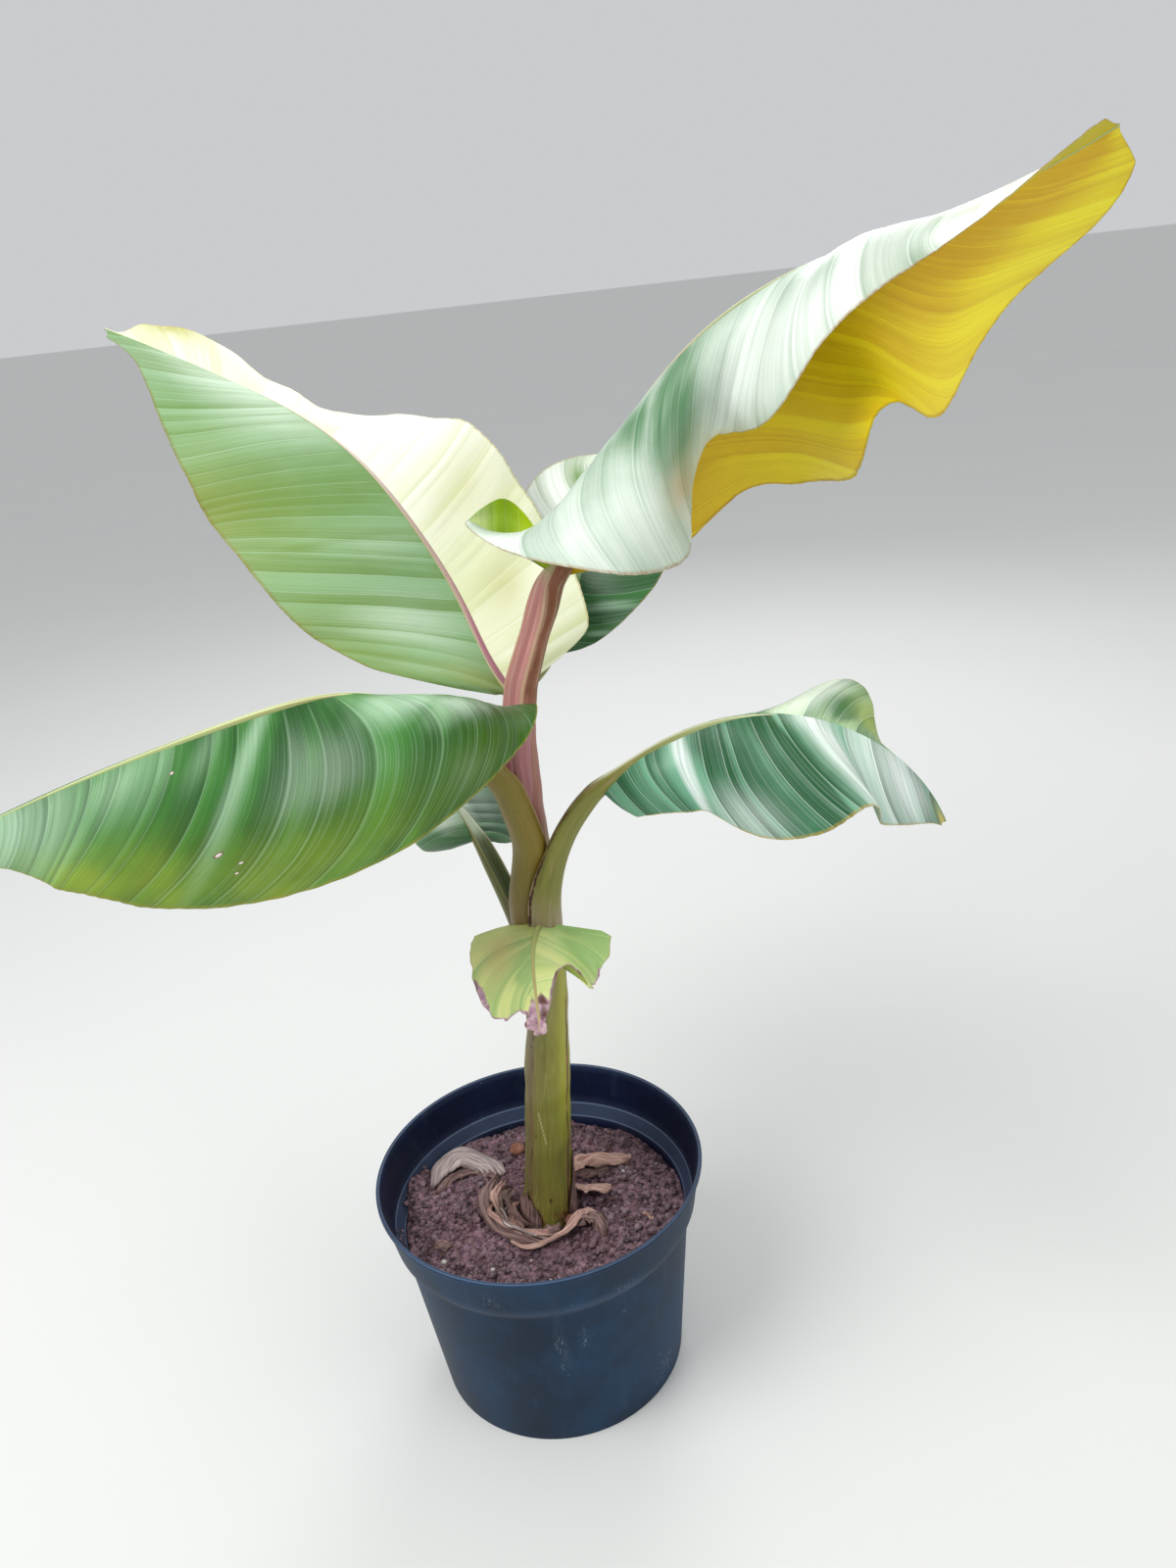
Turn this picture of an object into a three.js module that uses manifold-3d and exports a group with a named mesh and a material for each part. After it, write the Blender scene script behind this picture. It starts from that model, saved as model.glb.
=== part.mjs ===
// Young banana plant in a round nursery pot.
// Millimetres, +Z up. The origin is the centre of the pot's flat underside, and +Y points away
// from the viewer. The stem leans a little to +X, and every leaf is a channelled stalk that runs
// on as the midrib between two thin half blades.
import * as THREE from "three";
import { mergeVertices } from "three/addons/utils/BufferGeometryUtils.js";
import Module from "manifold-3d";

const wasm = await Module();
wasm.setup();

// Pot: a tapered wall, a sloping shoulder and a wider collar that ends in a rolled lip
const POT_HEIGHT = 203;
const POT_RIM_RADIUS = 140;
const POT_BASE_RADIUS = 107.5;
const POT_WALL = 2.5;
const POT_SHOULDER_RADIUS = 124.5;
const POT_SHOULDER_HEIGHT = 153;
const POT_COLLAR_RADIUS = 131.5;
const POT_COLLAR_HEIGHT = 163;
const POT_LIP_DEPTH = 5;
const POT_LIP_WIDTH = 2.6;
const POT_LIP_CHAMFER = 1;
const POT_SEGMENTS = 36;

// Soil: fills the pot to below the shoulder and is heaped up on the left
const SOIL_LEVEL = 149;
const SOIL_HEAP = 6;
const SOIL_LUMP = 2.2;
const SOIL_LUMP_SPREAD = [17, 23];
const SOIL_LUMP_TURNS = [3, 5];
const SOIL_SEAT_RADIUS = 26;
const SOIL_RINGS = 6;
const SOIL_SEGMENTS = 36;

// Stem: the rolled leaf bases, leaning to +X, from the soil to the crown where the stalks part
const STEM_HEIGHTS = [150, 160, 290, 380, 450, 520, 625];
const STEM_EAST = [3, 4, 18, 28, 32, 33.5, 37];
const STEM_NORTH = [0, 0, 0, 0, 1, 3, 5];
const STEM_RADII = [24, 21.5, 17.5, 15.5, 15, 11, 9];
const STEM_RINGS = 14;
const STEM_SIDES = 12;

// Clearance between neighbouring solids, the shape of the midribs and how finely leaves are cut up
const GAP = 0.3;
const RIB_TAPER = 1.2;
const BLADE_THICKNESS = 2;
const BLADE_END = 0.985;
const RIB_STEPS = 160;
const RIB_SIDES = 6;
const VEIN_STEPS = 24;
const STATIONS = [0, 0.15, 0.35, 0.6, 0.85, 1];

// Each leaf: where its stalk leaves the stem, the lengths of stalk and blade, the heading and
// the rise in degrees at the stalk's foot, the blade's foot, its thirds and its tip, and the
// stalk's radius at its foot, at the blade's foot and at the tip.
// Each half blade: along its stations the length of the side veins, how far they sweep towards
// the tip, how far they droop where they leave the midrib and how much more they curl down by
// the margin.
const LEAVES = {
  upper_left: {
    foot: [42, 6, 598],
    stalk: 22,
    blade: 484,
    heading: [165, 138, 132, 149, 153],
    rise: [59, 51, 49, 27, 23],
    radii: [10, 5.5, 1.3],
    rows: 13,
    left: {
      vein: [95, 122, 135, 112, 42, 6],
      sweep: [34, 10, 16, 13, 40, 60],
      droop: [-15, -6, 8, 6, -6, 10],
      curl: [48, 15, 24, 25, 8, 10],
    },
    right: {
      vein: [82, 112, 124, 50, 54, 6],
      sweep: [2, 27, 25, 26, 50, 60],
      droop: [-20, -10, -15, -3, -20, 10],
      curl: [10, 20, 13, 22, 5, 10],
    },
  },
  upper_right: {
    foot: [32, -4, 603],
    stalk: 111,
    blade: 447,
    heading: [-11, -8, -17, -29, -31],
    rise: [69, 66, 45, 13, 26],
    radii: [13, 8.5, 1.3],
    rows: 15,
    left: {
      vein: [55, 105, 134, 115, 94, 6],
      sweep: [0, 20, 0, 14, 0, 60],
      droop: [72, 51, 58, 82, 42, 42],
      curl: [47, 18, 18, 70, -14, 10],
    },
    right: {
      stations: [0, 0.1, 0.2, 0.35, 0.5, 0.7, 0.85, 1],
      vein: [71, 88, 119, 138, 132, 102, 68, 6],
      sweep: [15, -17, -25, -33, -41, -14, 2, 60],
      droop: [-94, -61, -32, 10, 41, -18, 14, -20],
      curl: [8, 70, 96, 98, 150, 92, -12, 0],
    },
  },
  back_right: {
    foot: [42, 19, 572],
    stalk: 88,
    blade: 300,
    heading: [74, 61, 56, 33, 22],
    rise: [76, 12, 60, 25, 15],
    radii: [7, 6, 1.3],
    rows: 9,
    left: {
      vein: [14, 50, 80, 70, 33, 5],
      sweep: [15, 8, 35, 50, 38, 60],
      droop: [-8, -12, -10, 10, 12, 5],
      curl: [18, 10, 10, 25, 25, 10],
    },
    right: {
      vein: [13, 48, 73, 68, 37, 5],
      sweep: [16, 8, 10, 18, 38, 60],
      droop: [0, -2, 10, 12, 9, 5],
      curl: [8, 5, 18, 22, 20, 10],
    },
  },
  lower_left: {
    foot: [21, -14, 446],
    stalk: 149,
    blade: 397,
    heading: [200, 201, 202, 203, 207],
    rise: [88, 64, 3, -8, -14],
    radii: [13.5, 11.5, 1.3],
    rows: 14,
    left: {
      stations: [0, 0.1, 0.2, 0.35, 0.6, 0.85, 1],
      vein: [58, 98, 141, 149, 98, 28, 5],
      sweep: [5, -17, -5, 30, 48, 38, 65],
      droop: [-104, -72, -26, 32, 44, 47, 30],
      curl: [50, 120, 128, 80, 48, 18, 10],
    },
    right: {
      vein: [70, 110, 120, 110, 60, 5],
      sweep: [-40, -5, 10, 15, 30, 65],
      droop: [20, 25, 30, 35, 30, 20],
      curl: [20, 20, 20, 20, 20, 10],
    },
  },
  lower_right: {
    foot: [35, -14, 448],
    stalk: 120,
    blade: 292,
    heading: [-14, -25, -31, -31, -26],
    rise: [86, 43, 20, -18, -70],
    radii: [12, 9, 1.3],
    rows: 12,
    left: {
      vein: [33, 73, 67, 80, 28, 5],
      sweep: [0, -2, -8, 6, 8, 40],
      droop: [25, 21, 22, -4, 20, 0],
      curl: [9, 2, 18, 5, 9, 10],
    },
    right: {
      stations: [0, 0.15, 0.28, 0.42, 0.6, 0.85, 1],
      vein: [34, 55, 63, 115, 104, 44, 5],
      sweep: [4, 11, 2, 33, 48, 20, 40],
      droop: [45, 40, 50, 34, 8, 9, 0],
      curl: [45, 45, 45, 12, 8, 19, 8],
    },
  },
  back_left: {
    foot: [14, 11, 427],
    stalk: 78,
    blade: 270,
    heading: [130, 113, 136, 150, 160],
    rise: [70, 36, 13, -5, -15],
    radii: [9, 7.5, 1.2],
    rows: 9,
    left: {
      vein: [56, 58, 75, 73, 41, 5],
      sweep: [19, 24, 13, 14, 35, 65],
      droop: [-5, 12, 20, 20, 15, 10],
      curl: [105, 52, 20, 18, 18, 10],
    },
    right: {
      vein: [39, 59, 81, 75, 42, 5],
      sweep: [-11, -3, 0, 13, 35, 65],
      droop: [2, 5, -4, 7, 10, 10],
      curl: [62, 38, 10, 16, 18, 10],
    },
  },
  withered: {
    foot: [37, -14, 442],
    stalk: 14,
    blade: 104,
    heading: [228, 244, 259, 267, 268],
    rise: [13, 8, -14, -37, -50],
    radii: [4.5, 3, 1.1],
    rows: 8,
    left: {
      vein: [56, 58, 52, 18, 8, 4],
      sweep: [-6, 0, 20, -10, 25, 30],
      droop: [8, 20, 21, 5, 27, 20],
      curl: [-12, 34, 29, 5, 26, 20],
    },
    right: {
      vein: [63, 60, 62, 31, 15, 4],
      sweep: [-8, -5, 23, 25, 34, 30],
      droop: [4, 12, 30, 40, 36, 20],
      curl: [20, 29, 40, 45, 38, 20],
    },
  },
};
const VEIN_COLUMNS = 5;
const STALK_RINGS = 4;
const MIDRIB_RINGS = 11;

// Colours
const COLOURS = {
  pot: "#232a36",
  soil: "#3b2a24",
  stem: "#8d8a3a",
  stalk: "#8f9a4c",
  leaf_pale: "#b9c98a",
  leaf_dark: "#3d7a45",
  leaf_yellow: "#c9b52e",
  leaf_withered: "#a9a262",
};

const LEAF_COLOURS = {
  upper_left: [COLOURS.leaf_pale, COLOURS.leaf_pale],
  upper_right: [COLOURS.leaf_yellow, COLOURS.leaf_pale],
  back_right: [COLOURS.leaf_dark, COLOURS.leaf_dark],
  lower_left: [COLOURS.leaf_dark, COLOURS.leaf_dark],
  lower_right: [COLOURS.leaf_dark, COLOURS.leaf_dark],
  back_left: [COLOURS.leaf_dark, COLOURS.leaf_dark],
  withered: [COLOURS.leaf_withered, COLOURS.leaf_withered],
};

// Surface roughness
const ROUGHNESS = { pot: 0.5, soil: 0.95, stem: 0.45, stalk: 0.5, leaf: 0.4 };

// Smooth curve through values given at rising stations, with weighted mean slopes
function smooth(stations, values, x) {
  const last = stations.length - 1;
  const steps = stations.slice(1).map((station, i) => station - stations[i]);
  const rates = steps.map((step, i) => (values[i + 1] - values[i]) / step);
  const slope = (i) => {
    if (i === 0) return rates[0];
    if (i === last) return rates[last - 1];
    return (rates[i - 1] * steps[i] + rates[i] * steps[i - 1]) / (steps[i - 1] + steps[i]);
  };
  let i = 0;
  while (i < last - 1 && x >= stations[i + 1]) i += 1;
  const t = (x - stations[i]) / steps[i];
  const square = t * t;
  const cube = square * t;
  return (
    (2 * cube - 3 * square + 1) * values[i] +
    (cube - 2 * square + t) * steps[i] * slope(i) +
    (3 * square - 2 * cube) * values[i + 1] +
    (cube - square) * steps[i] * slope(i + 1)
  );
}

const radians = THREE.MathUtils.degToRad;

// A closed body from rings of points with a flat cap at each end
function loft(rings) {
  const sides = rings[0].length;
  const points = rings.flat();
  const faces = [];
  for (let i = 0; i + 1 < rings.length; i += 1) {
    for (let j = 0; j < sides; j += 1) {
      const a = i * sides + j;
      const b = i * sides + ((j + 1) % sides);
      faces.push(a, b, b + sides, a, b + sides, a + sides);
    }
  }
  const end = (rings.length - 1) * sides;
  for (let j = 1; j + 1 < sides; j += 1) {
    faces.push(0, j + 1, j);
    faces.push(end, end + j, end + j + 1);
  }
  return body(points, faces);
}

// A closed thin body between an upper and a lower grid of points
function sheet(upper, lower) {
  const rows = upper.length;
  const columns = upper[0].length;
  const points = [...upper.flat(), ...lower.flat()];
  const below = rows * columns;
  const faces = [];
  const quad = (a, b, c, d) => faces.push(a, b, c, a, c, d);
  for (let i = 0; i + 1 < rows; i += 1) {
    for (let j = 0; j + 1 < columns; j += 1) {
      const a = i * columns + j;
      quad(a, a + columns, a + columns + 1, a + 1);
      quad(below + a, below + a + 1, below + a + columns + 1, below + a + columns);
    }
  }
  for (let i = 0; i + 1 < rows; i += 1) {
    const a = i * columns;
    const b = a + columns - 1;
    quad(a, below + a, below + a + columns, a + columns);
    quad(b, b + columns, below + b + columns, below + b);
  }
  const top = (rows - 1) * columns;
  for (let j = 0; j + 1 < columns; j += 1) {
    quad(j, j + 1, below + j + 1, below + j);
    quad(top + j, below + top + j, below + top + j + 1, top + j + 1);
  }
  return body(points, faces);
}

function body(points, faces) {
  const geometry = new THREE.BufferGeometry();
  geometry.setAttribute("position", new THREE.Float32BufferAttribute(points.flatMap((p) => p.toArray()), 3));
  geometry.setIndex(faces);
  return geometry;
}

// The solid of a closed geometry, turned inside out first where its faces point in
function solid(geometry) {
  const bare = geometry.clone();
  bare.deleteAttribute("normal");
  bare.deleteAttribute("uv");
  const merged = mergeVertices(bare, 1e-4);
  const make = (triVerts) =>
    new wasm.Manifold(new wasm.Mesh({
      numProp: 3,
      vertProperties: new Float32Array(merged.attributes.position.array),
      triVerts,
    }));
  const faces = new Uint32Array(merged.index.array);
  const first = make(faces);
  if (first.volume() > 0) return first;
  return make(faces.slice().reverse());
}

// The largest piece of a cut solid, as a geometry
function largest(cut) {
  const pieces = cut.decompose();
  pieces.sort((a, b) => b.volume() - a.volume());
  const mesh = pieces[0].getMesh();
  const geometry = new THREE.BufferGeometry();
  geometry.setAttribute("position", new THREE.BufferAttribute(mesh.vertProperties, 3));
  geometry.setIndex(new THREE.BufferAttribute(mesh.triVerts, 1));
  return geometry;
}

const plant = new THREE.Group();

function addMesh(name, geometry, colour, roughness) {
  const flat = geometry.index ? geometry.toNonIndexed() : geometry;
  flat.computeVertexNormals();
  const material = new THREE.MeshStandardMaterial({ color: colour, roughness, metalness: 0 });
  const mesh = new THREE.Mesh(flat, material);
  mesh.name = name;
  plant.add(mesh);
}

// Inner radius of the pot's wall at a height
function potInside(height) {
  const share = height / POT_SHOULDER_HEIGHT;
  return POT_BASE_RADIUS + (POT_SHOULDER_RADIUS - POT_BASE_RADIUS) * share - POT_WALL;
}

function makePot() {
  const rim = POT_RIM_RADIUS;
  const lip = POT_HEIGHT - POT_LIP_DEPTH;
  const profile = [
    [0, 0],
    [POT_BASE_RADIUS, 0],
    [POT_SHOULDER_RADIUS, POT_SHOULDER_HEIGHT],
    [POT_COLLAR_RADIUS, POT_COLLAR_HEIGHT],
    [rim - POT_LIP_WIDTH, lip],
    [rim, lip + POT_LIP_CHAMFER],
    [rim, POT_HEIGHT],
    [rim - POT_LIP_WIDTH, POT_HEIGHT],
    [rim - POT_LIP_WIDTH - POT_WALL, lip],
    [POT_COLLAR_RADIUS - POT_WALL, POT_COLLAR_HEIGHT + POT_WALL],
    [POT_SHOULDER_RADIUS - POT_WALL, POT_SHOULDER_HEIGHT + POT_WALL],
    [POT_BASE_RADIUS - POT_WALL, POT_WALL],
    [0, POT_WALL],
  ].map(([radius, height]) => new THREE.Vector2(radius, height));
  const geometry = new THREE.LatheGeometry(profile, POT_SEGMENTS);
  geometry.rotateX(Math.PI / 2);
  addMesh("pot", largest(solid(geometry)), COLOURS.pot, ROUGHNESS.pot);
}

// Height of the soil: flat under the stem, lumpy outwards and heaped on the left
function soilHeight(radius, angle) {
  const outer = THREE.MathUtils.smoothstep(radius, SOIL_SEAT_RADIUS, SOIL_SEAT_RADIUS * 2);
  const heap = SOIL_HEAP * Math.max(0, -Math.cos(angle)) * outer;
  const [first, second] = SOIL_LUMP_TURNS;
  const [inner, wide] = SOIL_LUMP_SPREAD;
  const waves = Math.sin(first * angle + radius / inner) * Math.cos(second * angle - radius / wide);
  const lumps = SOIL_LUMP * waves * outer;
  return SOIL_LEVEL + heap + lumps;
}

function makeSoil() {
  const floor = POT_WALL + GAP;
  const edge = (height) => potInside(height) - GAP * 2;
  const ring = (radius, height) => {
    const points = [];
    for (let j = 0; j < SOIL_SEGMENTS; j += 1) {
      const angle = (2 * Math.PI * j) / SOIL_SEGMENTS;
      const level = height === null ? soilHeight(radius, angle) : height;
      points.push(new THREE.Vector3(radius * Math.cos(angle), radius * Math.sin(angle), level));
    }
    return points;
  };
  const rings = [ring(edge(floor), floor)];
  const outside = edge(SOIL_LEVEL - SOIL_LUMP);
  for (let i = SOIL_RINGS; i > 0; i -= 1) {
    const share = i / SOIL_RINGS;
    rings.push(ring(SOIL_SEAT_RADIUS + (outside - SOIL_SEAT_RADIUS) * share, null));
  }
  rings.push(ring(SOIL_SEAT_RADIUS, SOIL_LEVEL));
  addMesh("soil", largest(solid(loft(rings))), COLOURS.soil, ROUGHNESS.soil);
}

// Ring of points round a centre, in the plane of two unit directions
function ringAt(centre, across, up, radius, sides) {
  const points = [];
  for (let j = 0; j < sides; j += 1) {
    const angle = (2 * Math.PI * j) / sides;
    const point = centre.clone();
    point.addScaledVector(across, radius * Math.cos(angle));
    point.addScaledVector(up, radius * Math.sin(angle));
    points.push(point);
  }
  return points;
}

function stemRings(extra) {
  const foot = SOIL_LEVEL + GAP;
  const crown = STEM_HEIGHTS[STEM_HEIGHTS.length - 1];
  const across = new THREE.Vector3(1, 0, 0);
  const up = new THREE.Vector3(0, 1, 0);
  const rings = [];
  for (let i = 0; i <= STEM_RINGS; i += 1) {
    const height = foot + ((crown - foot) * i) / STEM_RINGS;
    const known = Math.max(height, STEM_HEIGHTS[0]);
    const centre = new THREE.Vector3(
      smooth(STEM_HEIGHTS, STEM_EAST, known),
      smooth(STEM_HEIGHTS, STEM_NORTH, known),
      height,
    );
    rings.push(ringAt(centre, across, up, smooth(STEM_HEIGHTS, STEM_RADII, known) + extra, STEM_SIDES));
  }
  return rings;
}

// The curve of a leaf's stalk and midrib, with its frame at any distance from the foot
function ribOf(leaf) {
  const length = leaf.stalk + leaf.blade;
  const third = leaf.blade / 3;
  const knots = [0, leaf.stalk, leaf.stalk + third, leaf.stalk + 2 * third, length];
  const step = length / RIB_STEPS;
  const turn = (s) => radians(smooth(knots, leaf.heading, s));
  const climb = (s) => radians(smooth(knots, leaf.rise, s));
  const along = (s) => new THREE.Vector3(
    Math.cos(climb(s)) * Math.cos(turn(s)),
    Math.cos(climb(s)) * Math.sin(turn(s)),
    Math.sin(climb(s)),
  );
  const points = [new THREE.Vector3(...leaf.foot)];
  for (let i = 0; i < RIB_STEPS; i += 1) {
    points.push(points[i].clone().addScaledVector(along((i + 0.5) * step), step));
  }
  const at = (s) => {
    const place = Math.min(s / step, RIB_STEPS - 1e-9);
    const i = Math.floor(place);
    return points[i].clone().lerp(points[i + 1], place - i);
  };
  const frame = (s) => {
    const forward = along(s);
    const side = new THREE.Vector3(-Math.sin(turn(s)), Math.cos(turn(s)), 0);
    return { point: at(s), forward, side, up: forward.clone().cross(side) };
  };
  const radius = (s) => {
    const [foot, neck, tip] = leaf.radii;
    if (s < leaf.stalk) return foot + (neck - foot) * (s / leaf.stalk);
    const share = (s - leaf.stalk) / leaf.blade;
    return tip + (neck - tip) * (1 - share) ** RIB_TAPER;
  };
  return { length, frame, radius };
}

// Rings of a stalk or midrib between two distances from the foot
function ribRings(rib, start, end, count, extra) {
  const rings = [];
  for (let i = 0; i <= count; i += 1) {
    const s = start + ((end - start) * i) / count;
    const { point, side, up } = rib.frame(s);
    rings.push(ringAt(point, side, up, rib.radius(s) + extra, RIB_SIDES));
  }
  return rings;
}

// Points of one half blade: each vein leaves the midrib, sweeps towards the tip and curls down
function halfGrid(leaf, rib, half, sign) {
  const stations = half.stations ?? STATIONS;
  const grid = [];
  for (let i = 0; i <= leaf.rows; i += 1) {
    const t = (BLADE_END * i) / leaf.rows;
    const { point, forward, side, up } = rib.frame(leaf.stalk + t * leaf.blade);
    const vein = smooth(stations, half.vein, t);
    const sweep = radians(smooth(stations, half.sweep, t));
    const droop = radians(smooth(stations, half.droop, t));
    const curl = radians(smooth(stations, half.curl, t));
    const row = [point.clone()];
    const walker = point.clone();
    for (let k = 0; k < VEIN_STEPS; k += 1) {
      const bend = droop + (curl * (k + 0.5)) / VEIN_STEPS;
      const stride = vein / VEIN_STEPS;
      walker.addScaledVector(side, sign * stride * Math.cos(sweep) * Math.cos(bend));
      walker.addScaledVector(up, -stride * Math.cos(sweep) * Math.sin(bend));
      walker.addScaledVector(forward, stride * Math.sin(sweep));
      const done = ((k + 1) * VEIN_COLUMNS) / VEIN_STEPS;
      if (Math.floor(done) > Math.floor((k * VEIN_COLUMNS) / VEIN_STEPS)) row.push(walker.clone());
    }
    grid.push(row);
  }
  return grid;
}

function thicken(grid) {
  const rows = grid.length;
  const columns = grid[0].length;
  const normal = (i, j) => {
    const along = grid[Math.min(i + 1, rows - 1)][j].clone().sub(grid[Math.max(i - 1, 0)][j]);
    const across = grid[i][Math.min(j + 1, columns - 1)].clone().sub(grid[i][Math.max(j - 1, 0)]);
    return along.cross(across).normalize();
  };
  const shifted = (amount) =>
    grid.map((row, i) => row.map((point, j) => point.clone().addScaledVector(normal(i, j), amount)));
  return sheet(shifted(BLADE_THICKNESS / 2), shifted(-BLADE_THICKNESS / 2));
}

makePot();
makeSoil();

addMesh("trunk", largest(solid(loft(stemRings(0)))), COLOURS.stem, ROUGHNESS.stem);

// Stalks and midribs, split where the limb bends over at the blade's foot. Each is cut back from
// the stem and from the limbs made before it.
const ribs = {};
let cutter = solid(loft(stemRings(GAP)));
for (const [name, leaf] of Object.entries(LEAVES)) {
  const rib = ribOf(leaf);
  const neck = leaf.stalk;
  const stalk = solid(loft(ribRings(rib, 0, neck - GAP / 2, STALK_RINGS, 0)));
  const midrib = solid(loft(ribRings(rib, neck + GAP / 2, rib.length, MIDRIB_RINGS, 0)));
  addMesh(`stalk_${name}`, largest(stalk.subtract(cutter)), COLOURS.stalk, ROUGHNESS.stalk);
  addMesh(`midrib_${name}`, largest(midrib.subtract(cutter)), COLOURS.stalk, ROUGHNESS.stalk);
  cutter = cutter.add(solid(loft(ribRings(rib, 0, neck, STALK_RINGS, GAP))));
  cutter = cutter.add(solid(loft(ribRings(rib, neck, rib.length, MIDRIB_RINGS, GAP))));
  ribs[name] = rib;
}

// Half blades: each is cut back from the stem and from every stalk and midrib
for (const [name, leaf] of Object.entries(LEAVES)) {
  const halves = [["left", leaf.left, 1], ["right", leaf.right, -1]];
  halves.forEach(([side, half, sign], i) => {
    const raw = solid(thicken(halfGrid(leaf, ribs[name], half, sign)));
    addMesh(`blade_${name}_${side}`, largest(raw.subtract(cutter)), LEAF_COLOURS[name][i], ROUGHNESS.leaf);
  });
}

export default plant;
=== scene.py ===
# Looks of a potted young banana plant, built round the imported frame.
# Metres, in the frame's axes: the pot stands on z = 0, and +Y points away from the viewer.
import math

import bmesh
import bpy
import numpy as np
from mathutils import Matrix, Vector, noise


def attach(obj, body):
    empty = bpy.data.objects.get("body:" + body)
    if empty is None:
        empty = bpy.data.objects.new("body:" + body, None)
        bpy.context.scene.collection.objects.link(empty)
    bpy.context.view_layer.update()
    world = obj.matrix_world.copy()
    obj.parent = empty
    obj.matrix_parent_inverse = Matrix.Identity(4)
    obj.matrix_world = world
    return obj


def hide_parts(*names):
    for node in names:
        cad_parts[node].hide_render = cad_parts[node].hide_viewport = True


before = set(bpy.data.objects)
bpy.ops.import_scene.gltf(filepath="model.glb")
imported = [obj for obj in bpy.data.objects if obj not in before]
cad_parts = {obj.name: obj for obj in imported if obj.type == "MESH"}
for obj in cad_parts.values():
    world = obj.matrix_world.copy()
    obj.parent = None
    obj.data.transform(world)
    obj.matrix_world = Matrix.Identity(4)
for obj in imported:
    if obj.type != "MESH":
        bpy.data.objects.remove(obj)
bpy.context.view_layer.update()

# Camera: where the photograph was taken from, its yaw, pitch down and roll in degrees
CAMERA_PLACE = (0.0, -0.8559, 0.8973)
CAMERA_YAW = 5.28
CAMERA_PITCH = 22.42
CAMERA_ROLL = -6.48
CAMERA_LENS = 28.125
CAMERA_SENSOR = 36.0

# Studio: how far the floor runs, and what the lights face
FLOOR_REACH = 80.0
LIGHT_TARGET = (0, 0, 0.45)

# Pot: its height and outer radii, with shoulder and collar as a radius and a height each, its wall and
# lip, and its foot, which stands on a ring that begins and is full so far in from the outside
POT_HEIGHT = 0.203
POT_RIM = 0.140
POT_BASE = 0.1075
POT_WALL = 0.0025
POT_SHOULDER = (0.1245, 0.153)
POT_COLLAR = (0.1315, 0.163)
POT_LIP_DEPTH = 0.005
POT_LIP_WIDTH = 0.0026
POT_FOOT_RECESS = 0.003
POT_FOOT_RING = (0.012, 0.009)
POT_HUB = 0.0005
POT_EDGE = 0.0012
POT_SEGMENTS = 240
POT_STEP = 0.0066
# Rubbed places on its wall: angle in degrees, height, half width and half height in mm, strength
POT_SCUFFS = (
    (-92, 119, 4, 11, 1.0), (-83, 120, 3, 9, 0.8), (-67, 167, 11, 4, 0.8), (-92, 92, 4, 5, 0.6),
    (-113, 177, 10, 6, 0.5), (-41, 24, 15, 14, 0.6), (58, 104, 12, 12, 0.7), (149, 66, 14, 10, 0.6),
)

# Soil: its level, how high it is heaped, the flat part round the stem, its depth, how high its lumps
# are, and the angle in degrees at which it spills over
SOIL_LEVEL = 0.149
SOIL_HEAP = 0.006
SOIL_SEAT = 0.026
SOIL_DEPTH = 0.030
SOIL_LUMPS = 0.0022
SOIL_SPILL_ANGLE = 157.0
SOIL_RINGS = 100
SOIL_SEGMENTS = 360
# Clods and crumbs: how tall, how many in a metre, and the layer of noise that they are taken from
CRUMBLES = ((0.0034, 140, 4.2), (0.0016, 330, 7.9))
# Loose bits on top: where the perlite lies that the photo shows, and how many of each other kind
PERLITE = [(-0.082, 0.059), (-0.053, 0.020), (-0.050, -0.065), (-0.090, -0.047), (0.074, 0.030),
           (-0.060, -0.080)]
CRUMB_COUNT = 1500
GRIT_COUNT = 2200
FIBRE_COUNT = 420
LEDGE_CRUMB_COUNT = 60
LEDGE_BIT_COUNT = 14

# Dried scraps on the soil, husks that stand against the stem, and small shreds
SCRAP_HALF_THICK = 0.00022
HUSK_HALF_THICK = 0.0003
HUSK_STEPS = 40
SHRED_COUNT = 15

# The curves of stem and leaves are given in millimetres, and all other sizes in metres
MM = 0.001

# Stem: heights, and at each height how far east and north its centre is, and its radius
STEM_HEIGHTS = (150, 160, 290, 380, 450, 520, 625)
STEM_EAST = (3, 4, 18, 28, 32, 33.5, 37)
STEM_NORTH = (0, 0, 0, 0, 1, 3, 5)
STEM_RADII = (24.5, 23.5, 19.6, 17.3, 15.5, 11, 9)
# How deep it stands in the soil, how finely it is divided, and how high its grain and bumps are
STEM_BURIED = 0.004
STEM_SIDES = 150
STEM_STEP = 0.0016
STEM_GRAIN = 0.00010
STEM_UNEVEN = 0.0006
# Sheath edges on the stem: lowest and highest, the angle at each end, and the step at the edge
SHEATHS = [
    (0.150, 0.500, 219, 225, 0.0016),
    (0.150, 0.215, 338, 352, 0.0010),
    (0.158, 0.380, 318, 330, 0.0004),
    (0.170, 0.440, 60, 90, 0.0012),
    (0.300, 0.600, 120, 150, 0.0012),
    (0.420, 0.625, 285, 250, 0.0011),
]
# The pale scratch: its middle's height and angle, and half its height
SCRATCH_HEIGHT = 0.250
SCRATCH_ANGLE = 250.5
SCRATCH_REACH = 0.0155

# Limbs, which are a stalk and its midrib: how finely they are divided, how far each one's root runs
# into the stem and how much it tapers there
LIMB_SIDES = 36
LIMB_STEP = 0.0025
ROOTS = {"upper_left": 0.02, "upper_right": 0.12, "back_right": 0.02, "lower_left": 0.12,
         "lower_right": 0.10, "back_left": 0.07, "withered": 0.02}
ROOT_TAPER = 0.35
# The channel's half width and its lips' place, in radians from the top
CHANNEL_WIDTH = 0.62
LIP_PLACE = CHANNEL_WIDTH * 1.45
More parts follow.
